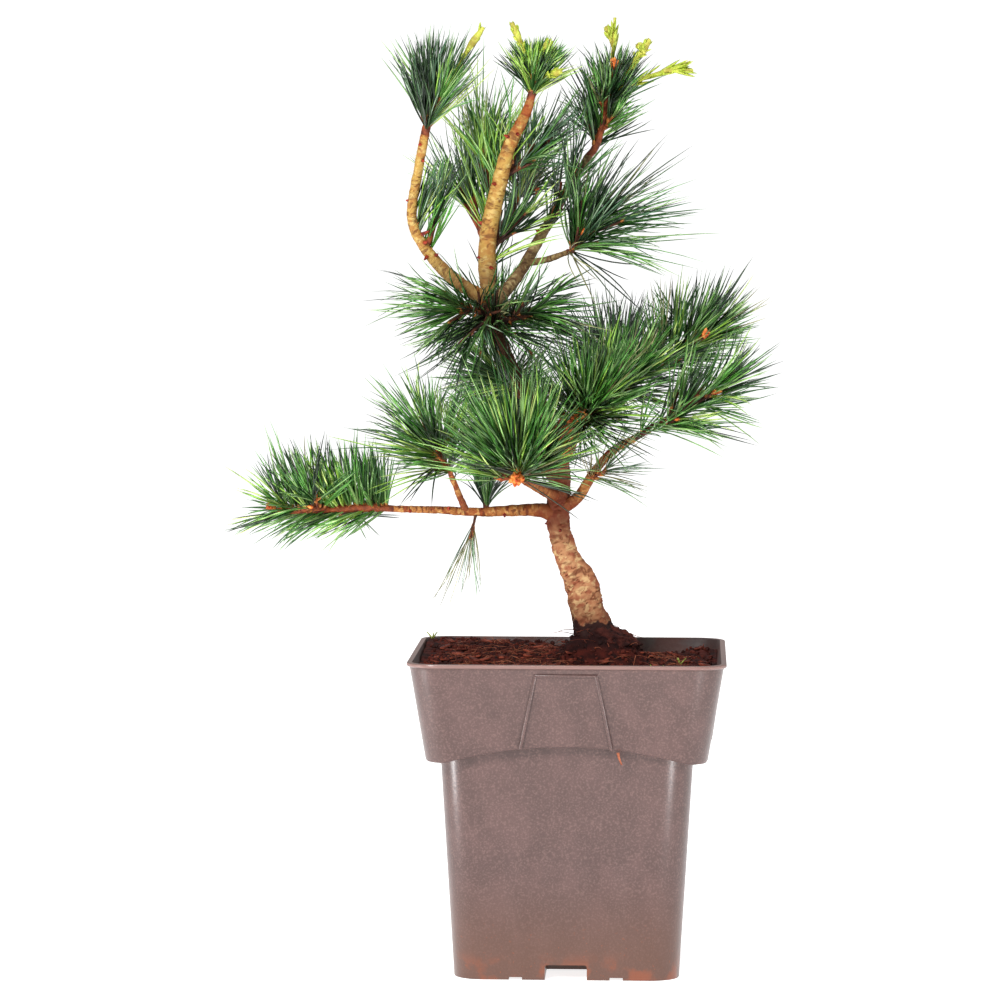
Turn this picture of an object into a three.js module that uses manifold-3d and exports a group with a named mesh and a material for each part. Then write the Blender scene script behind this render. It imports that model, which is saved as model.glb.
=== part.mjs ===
// A young Japanese white pine in a square nursery pot.
// Millimetres, +Z up. The origin is the middle of the pot's flat underside. The tree is seen from
// the front along +Y, with +X to the right, and it leans and branches to both sides of the pot.

import * as THREE from "three";
import { mergeVertices } from "three/addons/utils/BufferGeometryUtils.js";
import Module from "manifold-3d";

// Pot: a thin-walled square pot whose collar steps out from the body
const POT_HEIGHT = 131;
const RIM_HALF = 65;
const COLLAR_TOP_HALF = 64.1;
const COLLAR_FOOT_HALF = 57.6;
const COLLAR_FOOT = 90;
const BODY_TOP_HALF = 52.4;
const BODY_FOOT_HALF = 46.2;
const BODY_TOP = 100;
const CORNER_RADIUS = 12;
const CORNER_STEPS = 4;
const WALL = 1.6;
const FLOOR = 1.8;
const RIM_LIP_HEIGHT = 1.6;
const RIM_LIP_SLOPE = 0.5;

// Arched lower edge of the collar, the same on all four faces
const ARCH_HALF_SPAN = 50;
const ARCH_RISE = 7;
const ARCH_STEPS = 8;

// Raised ridge round the tapered panel on each face of the collar
const PANEL_TOP = 127.2;
const PANEL_TOP_HALF = 13;
const PANEL_FOOT = 96;
const PANEL_FOOT_HALF = 19;
const RIDGE_WIDTH = 1.3;
const RIDGE_PROUD = 0.7;

// Drain pocket in the middle of each foot edge, with a shallow groove on each side of it
const POCKET_HALF = 8.6;
const POCKET_HEIGHT = 6.3;
const POCKET_REACH = 29;
const GROOVE_HALF = 2.7;
const GROOVE_HEIGHT = 1.2;
const GROOVE_REACH = 16;
const GROOVE_CENTRE = 20.6;

// Potting soil, heaped round the foot of the trunk
const SOIL_LEVEL = 126;
const SOIL_LUMP = 0.8;
const SOIL_TILT = 0.03;
const SOIL_GRID = 9;
const MOUND_CENTRE = [13, 0];
const MOUND_HEIGHT = 15;
const MOUND_RADIUS = 17;
const MOUND_SPREAD = 26;
const MOUND_SIDES = 14;
const MOUND_RINGS = 5;
const GROUND = 136;

// Clearance between solids that touch on the real plant, and how far a cutter runs past its cut
const SEAT_GAP = 0.3;
const MARGIN = 5;

// Each limb runs through a few points, given as x, y, z and radius there
const TRUNK = {
  name: "trunk",
  sides: 10,
  rings: 18,
  path: [
    [13.5, 0, 128, 9.8],
    [10.8, 0, 138, 8.0],
    [6.8, 0, 149, 6.8],
    [3.8, 0, 160, 6.5],
    [-1.4, 0, 171, 5.0],
    [-5, 0, 184, 4.7],
    [-5, 1, 196, 5.0],
    [-5, 4, 209, 4.0],
    [-12, 8, 226, 3.4],
    [-25, 6, 248, 3.2],
    [-31, 3, 264, 3.2],
    [-34, 0, 279, 3.6],
  ],
};

const BOUGHS = [
  {
    name: "bough_left_low",
    path: [
      [-5, 0, 187.5, 4.2],
      [-14, -2, 189.8, 2.8],
      [-38, -5, 189, 1.8],
      [-55, -8, 190, 1.6],
      [-73, -10, 190.5, 1.4],
    ],
  },
  {
    name: "bough_right_low",
    path: [
      [-5, 0, 190, 3.2],
      [3, -2, 195, 2.3],
      [10, -5, 206, 1.9],
      [18, -8, 215, 1.7],
      [27, -10.5, 220.5, 1.5],
    ],
  },
  {
    name: "bough_front",
    path: [[-5, 0, 195, 2.6], [-12, -14, 199, 1.8], [-19, -31, 204, 1.4]],
  },
  {
    name: "bough_right_inner",
    path: [[-5, 3, 205, 2.6], [0, -4, 215, 1.9], [3, -9, 223, 1.5]],
  },
  {
    name: "bough_right_upper",
    path: [[-8, 6, 216, 2.4], [8, 12, 229, 1.8], [30, 13, 246, 1.5]],
  },
  {
    name: "bough_back_low",
    path: [[-5, 2, 202, 2.6], [-12, 20, 206, 1.9], [-20, 38, 214, 1.4]],
  },
  {
    name: "bough_back_right",
    path: [[-10, 7, 221, 2.3], [6, 24, 231, 1.7], [14, 38, 240, 1.4]],
  },
  {
    name: "leader_centre",
    path: [
      [-33.8, 0.4, 276, 2.4],
      [-34.6, -1, 284, 3.4],
      [-34.8, -2, 292, 3.8],
      [-34, -4, 306, 3.6],
      [-29, -6, 328, 3.2],
      [-25.3, -7.5, 341, 2.8],
      [-18.6, -8.5, 354, 2.1],
      [-16.8, -9, 360, 1.7],
    ],
  },
  {
    name: "leader_left",
    path: [
      [-33, 1.2, 276, 3.0],
      [-48, -4, 285, 2.8],
      [-60, -7, 298, 2.3],
      [-65.6, -9, 311, 2.1],
      [-63, -12, 330, 2.0],
      [-60, -14, 345, 1.8],
    ],
  },
  {
    name: "leader_right",
    path: [
      [-33, 1, 275, 2.8],
      [-23, 7, 286, 2.5],
      [-12, 11, 305, 2.2],
      [-4, 13, 319, 1.9],
      [7, 14, 337, 1.6],
    ],
  },
];

// Twigs carry a second mass from a bough or a leader
const TWIGS = [
  {
    name: "twig_left_inner",
    carrier: "bough_left_low",
    path: [[-43, -6, 189.2, 1.5], [-46, -11, 197, 1.3], [-49, -15, 205, 1.1]],
  },
  {
    name: "twig_right_fan",
    carrier: "leader_right",
    path: [[-19, 8.5, 292, 1.6], [-9, 0, 294, 1.3], [-1, -7, 297, 1.1]],
  },
  {
    name: "twig_upper_back",
    carrier: "leader_centre",
    path: [[-33.8, -3, 304, 1.8], [-29, 12, 308, 1.4], [-25, 24, 316, 1.1]],
  },
];

// Each mass grows on a stem that leaves a limb's tip, or a limb's side near a point, and has an
// end. Its sprays open away from the stem at its foot and close at its tip, lift bends them
// upwards, and comb parts them into upright ones and forward ones. Candles are the pale new
// shoots that stand out of some masses.
const MASSES = [
  { name: "needles_left_tip", tip: "bough_left_low", end: [-118, -12, 189.5], spray: 32, sprays: 61,
    open: 88, close: 42, lift: 0.2, comb: 1.4, twigs: 2, twigLength: 12 },
  { name: "needles_left_hanging", side: "bough_left_low", near: [-38.5, -8, 186.2], end: [-41, -12, 179],
    spray: 34, sprays: 9, open: 44, close: 10, lift: -0.5 },
  { name: "needles_left_rising", side: "bough_left_low", near: [-35, -3, 191], end: [-35.5, -1, 198],
    spray: 25, sprays: 10, open: 34, close: 8, lift: 0.4 },
  { name: "needles_left_inner", tip: "twig_left_inner", end: [-56, -20, 217], spray: 42, sprays: 40,
    open: 78, close: 12, lift: 0.2, twigs: 2, twigLength: 8 },
  { name: "needles_front", tip: "bough_front", end: [-20, -45, 208], spray: 50, sprays: 48,
    open: 84, close: 26, lift: 0.75, twigs: 2, twigLength: 9 },
  { name: "needles_right_inner", tip: "bough_right_inner", end: [8, -22, 231], spray: 48, sprays: 48,
    open: 82, close: 24, lift: 0.55, twigs: 2, twigLength: 9 },
  { name: "needles_right_middle", side: "bough_right_upper", near: [14, 12.7, 235], end: [26, 1, 243],
    spray: 40, sprays: 26, open: 62, close: 14, lift: 0.25 },
  { name: "needles_right_upper", tip: "bough_right_upper", end: [55, 15, 261], spray: 36, sprays: 46,
    open: 68, close: 18, lift: 0.45, twigs: 2, twigLength: 12 },
  { name: "needles_right_low", tip: "bough_right_low", end: [60, -17, 240], spray: 36, sprays: 46,
    open: 60, close: 14, lift: 0.15, comb: 0.25, twigs: 2, twigLength: 12 },
  { name: "needles_right_hanging", side: "bough_right_low", near: [8, -4, 203], end: [15, -10, 207],
    spray: 32, sprays: 14, open: 52, close: 14, lift: 0.1 },
  { name: "needles_back_low", tip: "bough_back_low", end: [-25, 54, 222], spray: 42, sprays: 30,
    open: 84, close: 14, lift: 0.3, twigs: 2, twigLength: 10 },
  { name: "needles_back_right", tip: "bough_back_right", end: [20, 53, 248], spray: 40, sprays: 28,
    open: 84, close: 14, lift: 0.3, twigs: 2, twigLength: 10 },
  { name: "needles_back_middle", side: "trunk", near: [-20, 8, 240], end: [-32, 25, 245],
    spray: 38, sprays: 26, open: 84, close: 12, lift: 0.15 },
  { name: "whorl_left", side: "trunk", near: [-34.4, -1, 270], end: [-45, -8, 274], spray: 42,
    sprays: 34, open: 78, close: 10, lift: 0 },
  { name: "whorl_front", side: "trunk", near: [-33, -1, 274], end: [-35, -12, 266], spray: 40,
    sprays: 30, open: 86, close: 34, lift: -0.15 },
  { name: "whorl_right", side: "trunk", near: [-29, 3.4, 268], end: [-17, -5, 271], spray: 42,
    sprays: 32, open: 76, close: 12, lift: 0 },
  { name: "whorl_back", side: "trunk", near: [-30, 7, 264], end: [-29, 18, 269], spray: 42,
    sprays: 26, open: 84, close: 12, lift: 0.15 },
  { name: "needles_left_leader", side: "leader_left", near: [-57.4, -8, 300], end: [-55, -9, 312],
    spray: 32, sprays: 16, open: 30, close: 8, lift: 0.5 },
  { name: "needles_left_top", tip: "leader_left", end: [-57, -15, 356], spray: 36, sprays: 34,
    open: 50, close: 8, lift: 0.25, candles: [[-36, -12, 389]] },
  { name: "needles_centre_left", side: "leader_centre", near: [-36, -3, 298], end: [-41, 5, 312],
    spray: 46, sprays: 34, open: 40, close: 8, lift: 0.55, slack: 26 },
  { name: "needles_centre_upper", side: "leader_centre", near: [-32.5, -5, 316], end: [-37, 5, 332],
    spray: 38, sprays: 32, open: 34, close: 6, lift: 0.5, slack: 26 },
  { name: "needles_centre_low", side: "leader_centre", near: [-33.5, -4, 297], end: [-24, 4, 307],
    spray: 42, sprays: 28, open: 42, close: 10, lift: 0.45, slack: 26 },
  { name: "needles_centre_right", side: "leader_centre", near: [-28, -6, 326], end: [-15, 1, 337],
    spray: 37, sprays: 34, open: 48, close: 10, lift: 0.5, slack: 26 },
  { name: "needles_centre_top", tip: "leader_centre", end: [-14.5, -9, 368], spray: 23, sprays: 26,
    open: 58, close: 12, lift: 0.4, twigs: 2, twigLength: 7,
    candles: [[-24.5, -12, 390], [-9, -8, 383], [-4, -13, 369]] },
  { name: "needles_right_top", tip: "leader_right", end: [17, 12, 366], spray: 29, sprays: 38,
    open: 64, close: 14, lift: 0.35, twigs: 2, twigLength: 11,
    candles: [[17.5, 10, 394], [32, 6, 385], [51, 4, 375]] },
  { name: "needles_right_leader", side: "leader_right", near: [-8, 12, 311], end: [-1, 5, 323],
    spray: 40, sprays: 32, open: 34, close: 8, lift: 0.7 },
  { name: "needles_right_fan", tip: "twig_right_fan", end: [5, -9, 304], spray: 46, sprays: 42,
    open: 72, close: 12, lift: 0.6, slack: 20 },
  { name: "needles_upper_back", tip: "twig_upper_back", end: [-21, 35, 330], spray: 38, sprays: 26,
    open: 80, close: 14, lift: 0.3, twigs: 2, twigLength: 9 },
];

// Sprays of needles: kite-shaped blades, each standing for a bundle that opens from its foot
const SPRAY_HALF_WIDTH = 1.5;
const SPRAY_THICK = 0.8;
const SPRAY_WIDEST = 0.42;
const SPRAY_ROOT = 0.3;
const SPRAY_FIRST = 0.12;
const SPRAY_SPAN = { low: 0.88, extra: 0.2 };
const TWIG_SPRAY_SPAN = { low: 0.8, extra: 0.2 };
const ANGLE_JITTER = 0.16;
const TURN_JITTER = 0.3;
const SPRAY_TRIES = [1, 0.8, 0.62];
const GOLDEN_ANGLE = THREE.MathUtils.degToRad(137.5);
const STEM_SIDES = 4;
const STEM_RINGS = 3;
const STEM_BEND = 0.2;
const STEM_TAPER = 0.95;
const STEM_TIP_RADIUS = 0.9;
const SIDE_STEM_RADIUS = 1.2;
const TWIG_SIDES = 3;
const TWIG_RADIUS = 0.95;
const TWIG_TIP_SHARE = 0.6;
const TWIG_ANGLE = THREE.MathUtils.degToRad(52);
const TWIG_TURN = 0.6;
const TWIG_LIFT = 0.25;
const TWIG_PLACES = { low: 0.3, extra: 0.55 };
const TWIG_SPRAYS = 0.16;
const TWIG_SPRAY_PLACES = { low: 0.35, high: 0.97 };
const CANDLE_FOOT = 0.9;
const CANDLE_RADIUS = 0.95;
const CANDLE_TIP_SHARE = 0.5;
const CANDLE_SPRAYS = 4;
const CANDLE_SPRAY = 8;
const CANDLE_SPRAY_SPAN = { low: 0.8, extra: 0.3 };
const CANDLE_SPRAY_PLACES = { low: 0.72, high: 0.94 };
const CANDLE_ANGLE = THREE.MathUtils.degToRad(32);
const CLEARANCE = 0.35;
const NEARBY = 12;
const SPACE_SLACK = 8;
const SPACE_SHARES = [0.55, 0.8, 1];
const SPINE_REACH = 0.5;
const POT_CLEAR_Z = POT_HEIGHT + 8;
const FIRST_SEED = 1000;
const SEED_STEP = 37;

const UP = new THREE.Vector3(0, 0, 1);
const EAST = new THREE.Vector3(1, 0, 0);

const wasm = await Module();
wasm.setup();

// Solids

function toSolid(geometry) {
  const bare = geometry.clone();
  bare.deleteAttribute("normal");
  bare.deleteAttribute("uv");
  const merged = mergeVertices(bare);
  return new wasm.Manifold(new wasm.Mesh({
    numProp: 3,
    vertProperties: new Float32Array(merged.attributes.position.array),
    triVerts: new Uint32Array(merged.index.array),
  }));
}

function toGeometry(solid) {
  const mesh = solid.getMesh();
  const geometry = new THREE.BufferGeometry();
  geometry.setAttribute("position", new THREE.BufferAttribute(new Float32Array(mesh.vertProperties), 3));
  geometry.setIndex(new THREE.BufferAttribute(new Uint32Array(mesh.triVerts), 1));
  geometry.computeVertexNormals();
  return geometry;
}

function unite(solids) {
  return solids.reduce((whole, next) => whole.add(next));
}

// Closed skin over rings of points, with a flat fan at each end
function loft(rings) {
  const sides = rings[0].length;
  const faces = [];
  for (let j = 1; j < sides - 1; j += 1) {
    faces.push(0, j + 1, j);
  }
  for (let i = 0; i < rings.length - 1; i += 1) {
    for (let j = 0; j < sides; j += 1) {
      const near = i * sides + j;
      const beside = i * sides + (j + 1) % sides;
      faces.push(near, beside, beside + sides);
      faces.push(near, beside + sides, near + sides);
    }
  }
  const last = (rings.length - 1) * sides;
  for (let j = 1; j < sides - 1; j += 1) {
    faces.push(last, last + j, last + j + 1);
  }
  const geometry = new THREE.BufferGeometry();
  geometry.setFromPoints(rings.flat());
  geometry.setIndex(faces);
  return toSolid(geometry);
}

function ring(centre, across, other, radius, sides) {
  return Array.from({ length: sides }, (_, j) => {
    const angle = (2 * Math.PI * j) / sides;
    return centre.clone()
      .addScaledVector(across, radius * Math.cos(angle))
      .addScaledVector(other, radius * Math.sin(angle));
  });
}

function axesAcross(direction) {
  const helper = Math.abs(direction.z) < 0.9 ? UP : EAST;
  const across = new THREE.Vector3().crossVectors(direction, helper).normalize();
  const other = new THREE.Vector3().crossVectors(direction, across);
  return [across, other];
}

function roundedSquare(half, radius, z) {
  const quarter = Math.PI / 2;
  const points = [];
  for (let corner = 0; corner < 4; corner += 1) {
    const middle = new THREE.Vector3(half - radius, half - radius, z);
    middle.applyAxisAngle(UP, corner * quarter);
    for (let step = 0; step <= CORNER_STEPS; step += 1) {
      const angle = (corner + step / CORNER_STEPS) * quarter;
      const arm = new THREE.Vector3(radius, 0, 0).applyAxisAngle(UP, angle);
      points.push(arm.add(middle));
    }
  }
  return points;
}

function box(xRange, yRange, zRange) {
  const size = [xRange, yRange, zRange].map(([low, high]) => high - low);
  const middle = [xRange, yRange, zRange].map(([low, high]) => (low + high) / 2);
  return toSolid(new THREE.BoxGeometry(...size).translate(...middle));
}

// Half width of a tapering part of the pot at a height
function taper(z, [footZ, footHalf], [topZ, topHalf]) {
  return THREE.MathUtils.mapLinear(z, footZ, topZ, footHalf, topHalf);
}

function onFourFaces(solid) {
  return unite([0, 90, 180, 270].map((angle) => solid.rotate([0, 0, angle])));
}

// Pot

function potBody(inset, foot) {
  const half = (z) => taper(z, [0, BODY_FOOT_HALF], [BODY_TOP, BODY_TOP_HALF]) - inset;
  const edge = (z) => roundedSquare(half(z), CORNER_RADIUS - inset, z);
  return loft([edge(foot), edge(BODY_TOP)]);
}

function archCutter(raise) {
  const shape = new THREE.Shape();
  shape.moveTo(-ARCH_HALF_SPAN, COLLAR_FOOT - MARGIN);
  shape.lineTo(ARCH_HALF_SPAN, COLLAR_FOOT - MARGIN);
  for (let step = 0; step <= ARCH_STEPS; step += 1) {
    const share = 1 - (2 * step) / ARCH_STEPS;
    shape.lineTo(ARCH_HALF_SPAN * share, COLLAR_FOOT + raise + ARCH_RISE * (1 - share * share));
  }
  const depth = 2 * (RIM_HALF + MARGIN);
  const slab = new THREE.ExtrudeGeometry(shape, { depth, bevelEnabled: false });
  return toSolid(slab.translate(0, 0, -depth / 2).rotateX(Math.PI / 2));
}

function potCollar(inset, top) {
  const half = (z) => taper(z, [COLLAR_FOOT, COLLAR_FOOT_HALF], [POT_HEIGHT, COLLAR_TOP_HALF]) - inset;
  const edge = (z) => roundedSquare(half(z), CORNER_RADIUS - inset, z);
  const block = loft([edge(COLLAR_FOOT + inset), edge(top)]);
  const arch = archCutter(inset);
  return block.subtract(arch).subtract(arch.rotate([0, 0, 90]));
}

function rimLip() {
  const foot = POT_HEIGHT - RIM_LIP_HEIGHT;
  return loft([
    roundedSquare(RIM_HALF - RIM_LIP_SLOPE, CORNER_RADIUS, foot),
    roundedSquare(RIM_HALF, CORNER_RADIUS, foot + RIM_LIP_SLOPE),
    roundedSquare(RIM_HALF, CORNER_RADIUS, POT_HEIGHT),
  ]);
}

// The ridge is drawn upright, laid back to the collar's slope, and sunk half into its wall
function panelRidge() {
  const rise = PANEL_TOP - PANEL_FOOT;
  const shape = new THREE.Shape();
  shape.moveTo(-PANEL_FOOT_HALF, 0);
  shape.lineTo(-PANEL_TOP_HALF, rise);
  shape.lineTo(PANEL_TOP_HALF, rise);
  shape.lineTo(PANEL_FOOT_HALF, 0);
  shape.lineTo(PANEL_FOOT_HALF - RIDGE_WIDTH, 0);
  shape.lineTo(PANEL_TOP_HALF - RIDGE_WIDTH, rise - RIDGE_WIDTH);
  shape.lineTo(RIDGE_WIDTH - PANEL_TOP_HALF, rise - RIDGE_WIDTH);
  shape.lineTo(RIDGE_WIDTH - PANEL_FOOT_HALF, 0);
  const lean = (COLLAR_TOP_HALF - COLLAR_FOOT_HALF) / (POT_HEIGHT - COLLAR_FOOT);
  const footHalf = taper(PANEL_FOOT, [COLLAR_FOOT, COLLAR_FOOT_HALF], [POT_HEIGHT, COLLAR_TOP_HALF]);
  const bar = new THREE.ExtrudeGeometry(shape, { depth: 2 * RIDGE_PROUD, bevelEnabled: false });
  bar.translate(0, 0, -RIDGE_PROUD);
  bar.rotateX(Math.PI / 2 + Math.atan(lean));
  return toSolid(bar.translate(0, -footHalf, PANEL_FOOT));
}

function drainPockets(grow) {
  const half = POCKET_HALF + grow;
  const end = POCKET_REACH + grow - BODY_FOOT_HALF;
  return onFourFaces(box([-half, half], [-RIM_HALF, end], [-MARGIN, POCKET_HEIGHT + grow]));
}

function footGrooves() {
  const groove = (centre) => box(
    [centre - GROOVE_HALF, centre + GROOVE_HALF],
    [-RIM_HALF, GROOVE_REACH - BODY_FOOT_HALF],
    [-MARGIN, GROOVE_HEIGHT],
  );
  return onFourFaces(unite([groove(-GROOVE_CENTRE), groove(GROOVE_CENTRE)]));
}

function potInside(inset) {
  const room = potBody(WALL + inset, FLOOR + inset).add(potCollar(WALL + inset, POT_HEIGHT + MARGIN));
  return room.subtract(drainPockets(WALL + inset));
}

function makePot() {
  const outside = unite([potBody(0, 0), potCollar(0, POT_HEIGHT), rimLip(), onFourFaces(panelRidge())]);
  return outside.subtract(potInside(0)).subtract(drainPockets(0)).subtract(footGrooves());
}

// Soil

function soilHeight(x, y) {
  const broad = Math.sin(0.19 * x + 1.1) * Math.cos(0.16 * y - 0.4);
  const small = 0.6 * Math.sin(0.41 * x - 0.33 * y);
  return SOIL_LEVEL - SOIL_TILT * x + SOIL_LUMP * (broad + small);
}

function soilMound() {
  const profile = [new THREE.Vector2(0, -MOUND_HEIGHT), new THREE.Vector2(MOUND_SPREAD, -MOUND_HEIGHT)];
  for (let i = 0; i <= MOUND_RINGS; i += 1) {
    const reach = MOUND_SPREAD * (1 - i / MOUND_RINGS);
    profile.push(new THREE.Vector2(reach, MOUND_HEIGHT * Math.exp(-((reach / MOUND_RADIUS) ** 2.5))));
  }
  const mound = new THREE.LatheGeometry(profile, MOUND_SIDES).rotateX(Math.PI / 2);
  return toSolid(mound.translate(...MOUND_CENTRE, SOIL_LEVEL));
}

function makeSoil(trunkSocket) {
  const width = 2 * (RIM_HALF + MARGIN);
  const block = new THREE.BoxGeometry(width, width, SOIL_LEVEL, SOIL_GRID, SOIL_GRID, 1);
  block.translate(0, 0, SOIL_LEVEL / 2);
  const points = block.attributes.position;
  for (let i = 0; i < points.count; i += 1) {
    if (points.getZ(i) > SOIL_LEVEL / 2) {
      points.setZ(i, soilHeight(points.getX(i), points.getY(i)));
    }
  }
  return potInside(SEAT_GAP).intersect(toSolid(block)).add(soilMound()).subtract(trunkSocket);
}

// Limbs

// A limb runs smoothly through its points. A grown one is the same limb, larger all round.
function limbShape({ path, sides = 6, rings = 6 }, grow = 0) {
  const knots = path.map(([x, y, z]) => new THREE.Vector3(x, y, z));
  const curve = new THREE.CatmullRomCurve3(knots, false, "catmullrom");
  const frames = curve.computeFrenetFrames(rings, false);
  const stations = Array.from({ length: rings + 1 }, (_, i) => {
    const along = curve.getUtoTmapping(i / rings) * (path.length - 1);
    const before = Math.min(Math.floor(along), path.length - 2);
    const radius = THREE.MathUtils.lerp(path[before][3], path[before + 1][3], along - before) + grow;
    const outward = i === 0 ? -grow : i === rings ? grow : 0;
    const centre = curve.getPointAt(i / rings).addScaledVector(frames.tangents[i], outward);
    return { centre, radius, points: ring(centre, frames.normals[i], frames.binormals[i], radius, sides) };
  });
  return { solid: loft(stations.map(({ points }) => points)), stations, heading: frames.tangents[rings] };
}

function capsulesOf(stations, owner) {
  return stations.slice(1).map((station, i) => ({
    from: stations[i].centre,
    to: station.centre,
    radius: Math.max(stations[i].radius, station.radius),
    owner,
  }));
}

// Distance between two straight stretches, by clamping the nearest points to both
function stretchDistance(a, b, c, d) {
  const first = new THREE.Vector3().subVectors(b, a);
  const second = new THREE.Vector3().subVectors(d, c);
  const between = new THREE.Vector3().subVectors(a, c);
  const aa = first.lengthSq();
  const ee = second.lengthSq();
  const f = second.dot(between);
  const cc = first.dot(between);
  const bb = first.dot(second);
  const denominator = aa * ee - bb * bb;
  let s = denominator > 1e-9 ? THREE.MathUtils.clamp((bb * f - cc * ee) / denominator, 0, 1) : 0;
  const t = THREE.MathUtils.clamp((bb * s + f) / ee, 0, 1);
  s = THREE.MathUtils.clamp((bb * t - cc) / aa, 0, 1);
  return first.multiplyScalar(s).add(a).distanceTo(second.multiplyScalar(t).add(c));
}

function touchesAny({ from, to, radius, owner }, taken) {
  return taken.some((other) => {
    const reach = radius + other.radius + CLEARANCE;
    return other.owner !== owner && stretchDistance(from, to, other.from, other.to) < reach;
  });
}

// Foliage

function seededRandom(seed) {
  let state = seed >>> 0;
  return () => {
    state = (state + 0x6d2b79f5) >>> 0;
    let mixed = Math.imul(state ^ (state >>> 15), 1 | state);
    mixed = (mixed + Math.imul(mixed ^ (mixed >>> 7), 61 | mixed)) ^ mixed;
    return ((mixed ^ (mixed >>> 14)) >>> 0) / 4294967296;
  };
}

function cone(from, to, fromRadius, toRadius, sides) {
  const direction = new THREE.Vector3().subVectors(to, from).normalize();
  const [across, other] = axesAcross(direction);
  return loft([ring(from, across, other, fromRadius, sides), ring(to, across, other, toRadius, sides)]);
}

// A slim kite-shaped blade with four faces: a back edge from foot to tip and a corner on each side
function sprayBlade(from, to) {
  const direction = new THREE.Vector3().subVectors(to, from).normalize();
  const [across, other] = axesAcross(direction);
  const foot = from.clone().addScaledVector(direction, -SPRAY_ROOT);
  const middle = foot.clone().lerp(to, SPRAY_WIDEST).addScaledVector(other, SPRAY_THICK);
  const left = middle.clone().addScaledVector(across, -SPRAY_HALF_WIDTH);
  const right = middle.clone().addScaledVector(across, SPRAY_HALF_WIDTH);
  const geometry = new THREE.BufferGeometry();
  geometry.setFromPoints([foot, left, right, to]);
  geometry.setIndex([0, 1, 2, 0, 3, 1, 0, 2, 3, 1, 3, 2]);
  return toSolid(geometry);
}

function nearestOnLimb(stations, point) {
  const nearest = stations.slice(1).map(({ centre }, i) => new THREE.Line3(stations[i].centre, centre)
    .closestPointToPoint(point, true, new THREE.Vector3()));
  return nearest.sort((a, b) => a.distanceTo(point) - b.distanceTo(point))[0];
}

// A stem on a tip starts clear of it and turns from the limb's heading to its own end. A stem on
// a side starts in the middle of the limb, which is cut away from it later.
function stemOf(mass) {
  const end = new THREE.Vector3(...mass.end);
  if (mass.side) {
    const start = nearestOnLimb(limbs[mass.side].stations, new THREE.Vector3(...mass.near));
    return [start, start.clone().lerp(end, 0.5), end].map((p) => [p.x, p.y, p.z]);
  }
  const limb = limbs[mass.tip];
  const tip = limb.stations.at(-1).centre;
  const start = tip.clone().addScaledVector(limb.heading, SEAT_GAP);
  const bend = start.clone().addScaledVector(limb.heading, STEM_BEND * start.distanceTo(end));
  return [start, bend, end].map((p) => [p.x, p.y, p.z]);
}

function planShoots(mass) {
  const path = stemOf(mass);
  const footRadius = mass.side ? SIDE_STEM_RADIUS : limbs[mass.tip].stations.at(-1).radius;
  const radii = [footRadius, footRadius * STEM_TAPER, STEM_TIP_RADIUS];
  const tapered = path.map((point, i) => [...point, radii[i]]);
  const shape = limbShape({ path: tapered, sides: STEM_SIDES, rings: STEM_RINGS });
  return { mass, shape, spine: spineOf(shape.stations, mass.spray) };
}

// A point on the stem and its heading there, with share running from foot to tip
function alongStem(stations, share) {
  const place = Math.min(share, 0.999) * (stations.length - 1);
  const before = Math.floor(place);
  const from = stations[before].centre;
  const to = stations[before + 1].centre;
  const heading = new THREE.Vector3().subVectors(to, from).normalize();
  return { point: from.clone().lerp(to, place - before), heading };
}

// A direction that leaves a heading at an angle. Lift bends it up, and comb draws what leaves
// upwards nearer to upright and what leaves downwards nearer to the heading.
function leaving(heading, turn, angle, lift, comb = 0) {
  const [across, other] = axesAcross(heading);
  const outward = across.multiplyScalar(Math.cos(turn)).addScaledVector(other, Math.sin(turn));
  const drawn = outward.z > 0 ? UP : heading;
  return heading.clone().multiplyScalar(Math.cos(angle))
    .addScaledVector(outward, Math.sin(angle))
    .addScaledVector(UP, lift)
    .addScaledVector(drawn, comb * Math.abs(outward.z))
    .normalize();
}

// The spine of a mass is its stem, carried on through the middle of its sprays
function spineOf(stations, spray) {
  const foot = stations[0].centre;
  const tip = stations.at(-1).centre;
  const heading = new THREE.Vector3().subVectors(tip, foot).normalize();
  return new THREE.Line3(foot, tip.clone().addScaledVector(heading, SPINE_REACH * spray));
}

function nearestSpine(point, spines) {
  const distances = spines.map((line) => line
    .closestPointToPoint(point, true, new THREE.Vector3())
    .distanceTo(point));
  return Math.min(...distances);
}

// A spray keeps to its mass's space: nearer to its own spine than to any other mass's spine,
// with some slack, which is wider where masses grow through each other
function keepsToSpace(from, to, own, others, slack) {
  return SPACE_SHARES.every((share) => {
    const point = from.clone().lerp(to, share);
    return nearestSpine(point, own) < nearestSpine(point, others) + slack;
  });
}

// Where a side stem is far enough out of its limb to carry a spray
function firstClearShare(mass, stations) {
  const start = stations[0].centre;
  const nearby = limbs[mass.side].stations.filter(({ centre }) => centre.distanceTo(start) < NEARBY);
  const thickest = Math.max(...nearby.map(({ radius }) => radius));
  const length = start.distanceTo(stations.at(-1).centre);
  return (thickest + SPRAY_HALF_WIDTH + 2 * CLEARANCE) / length;
}

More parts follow.
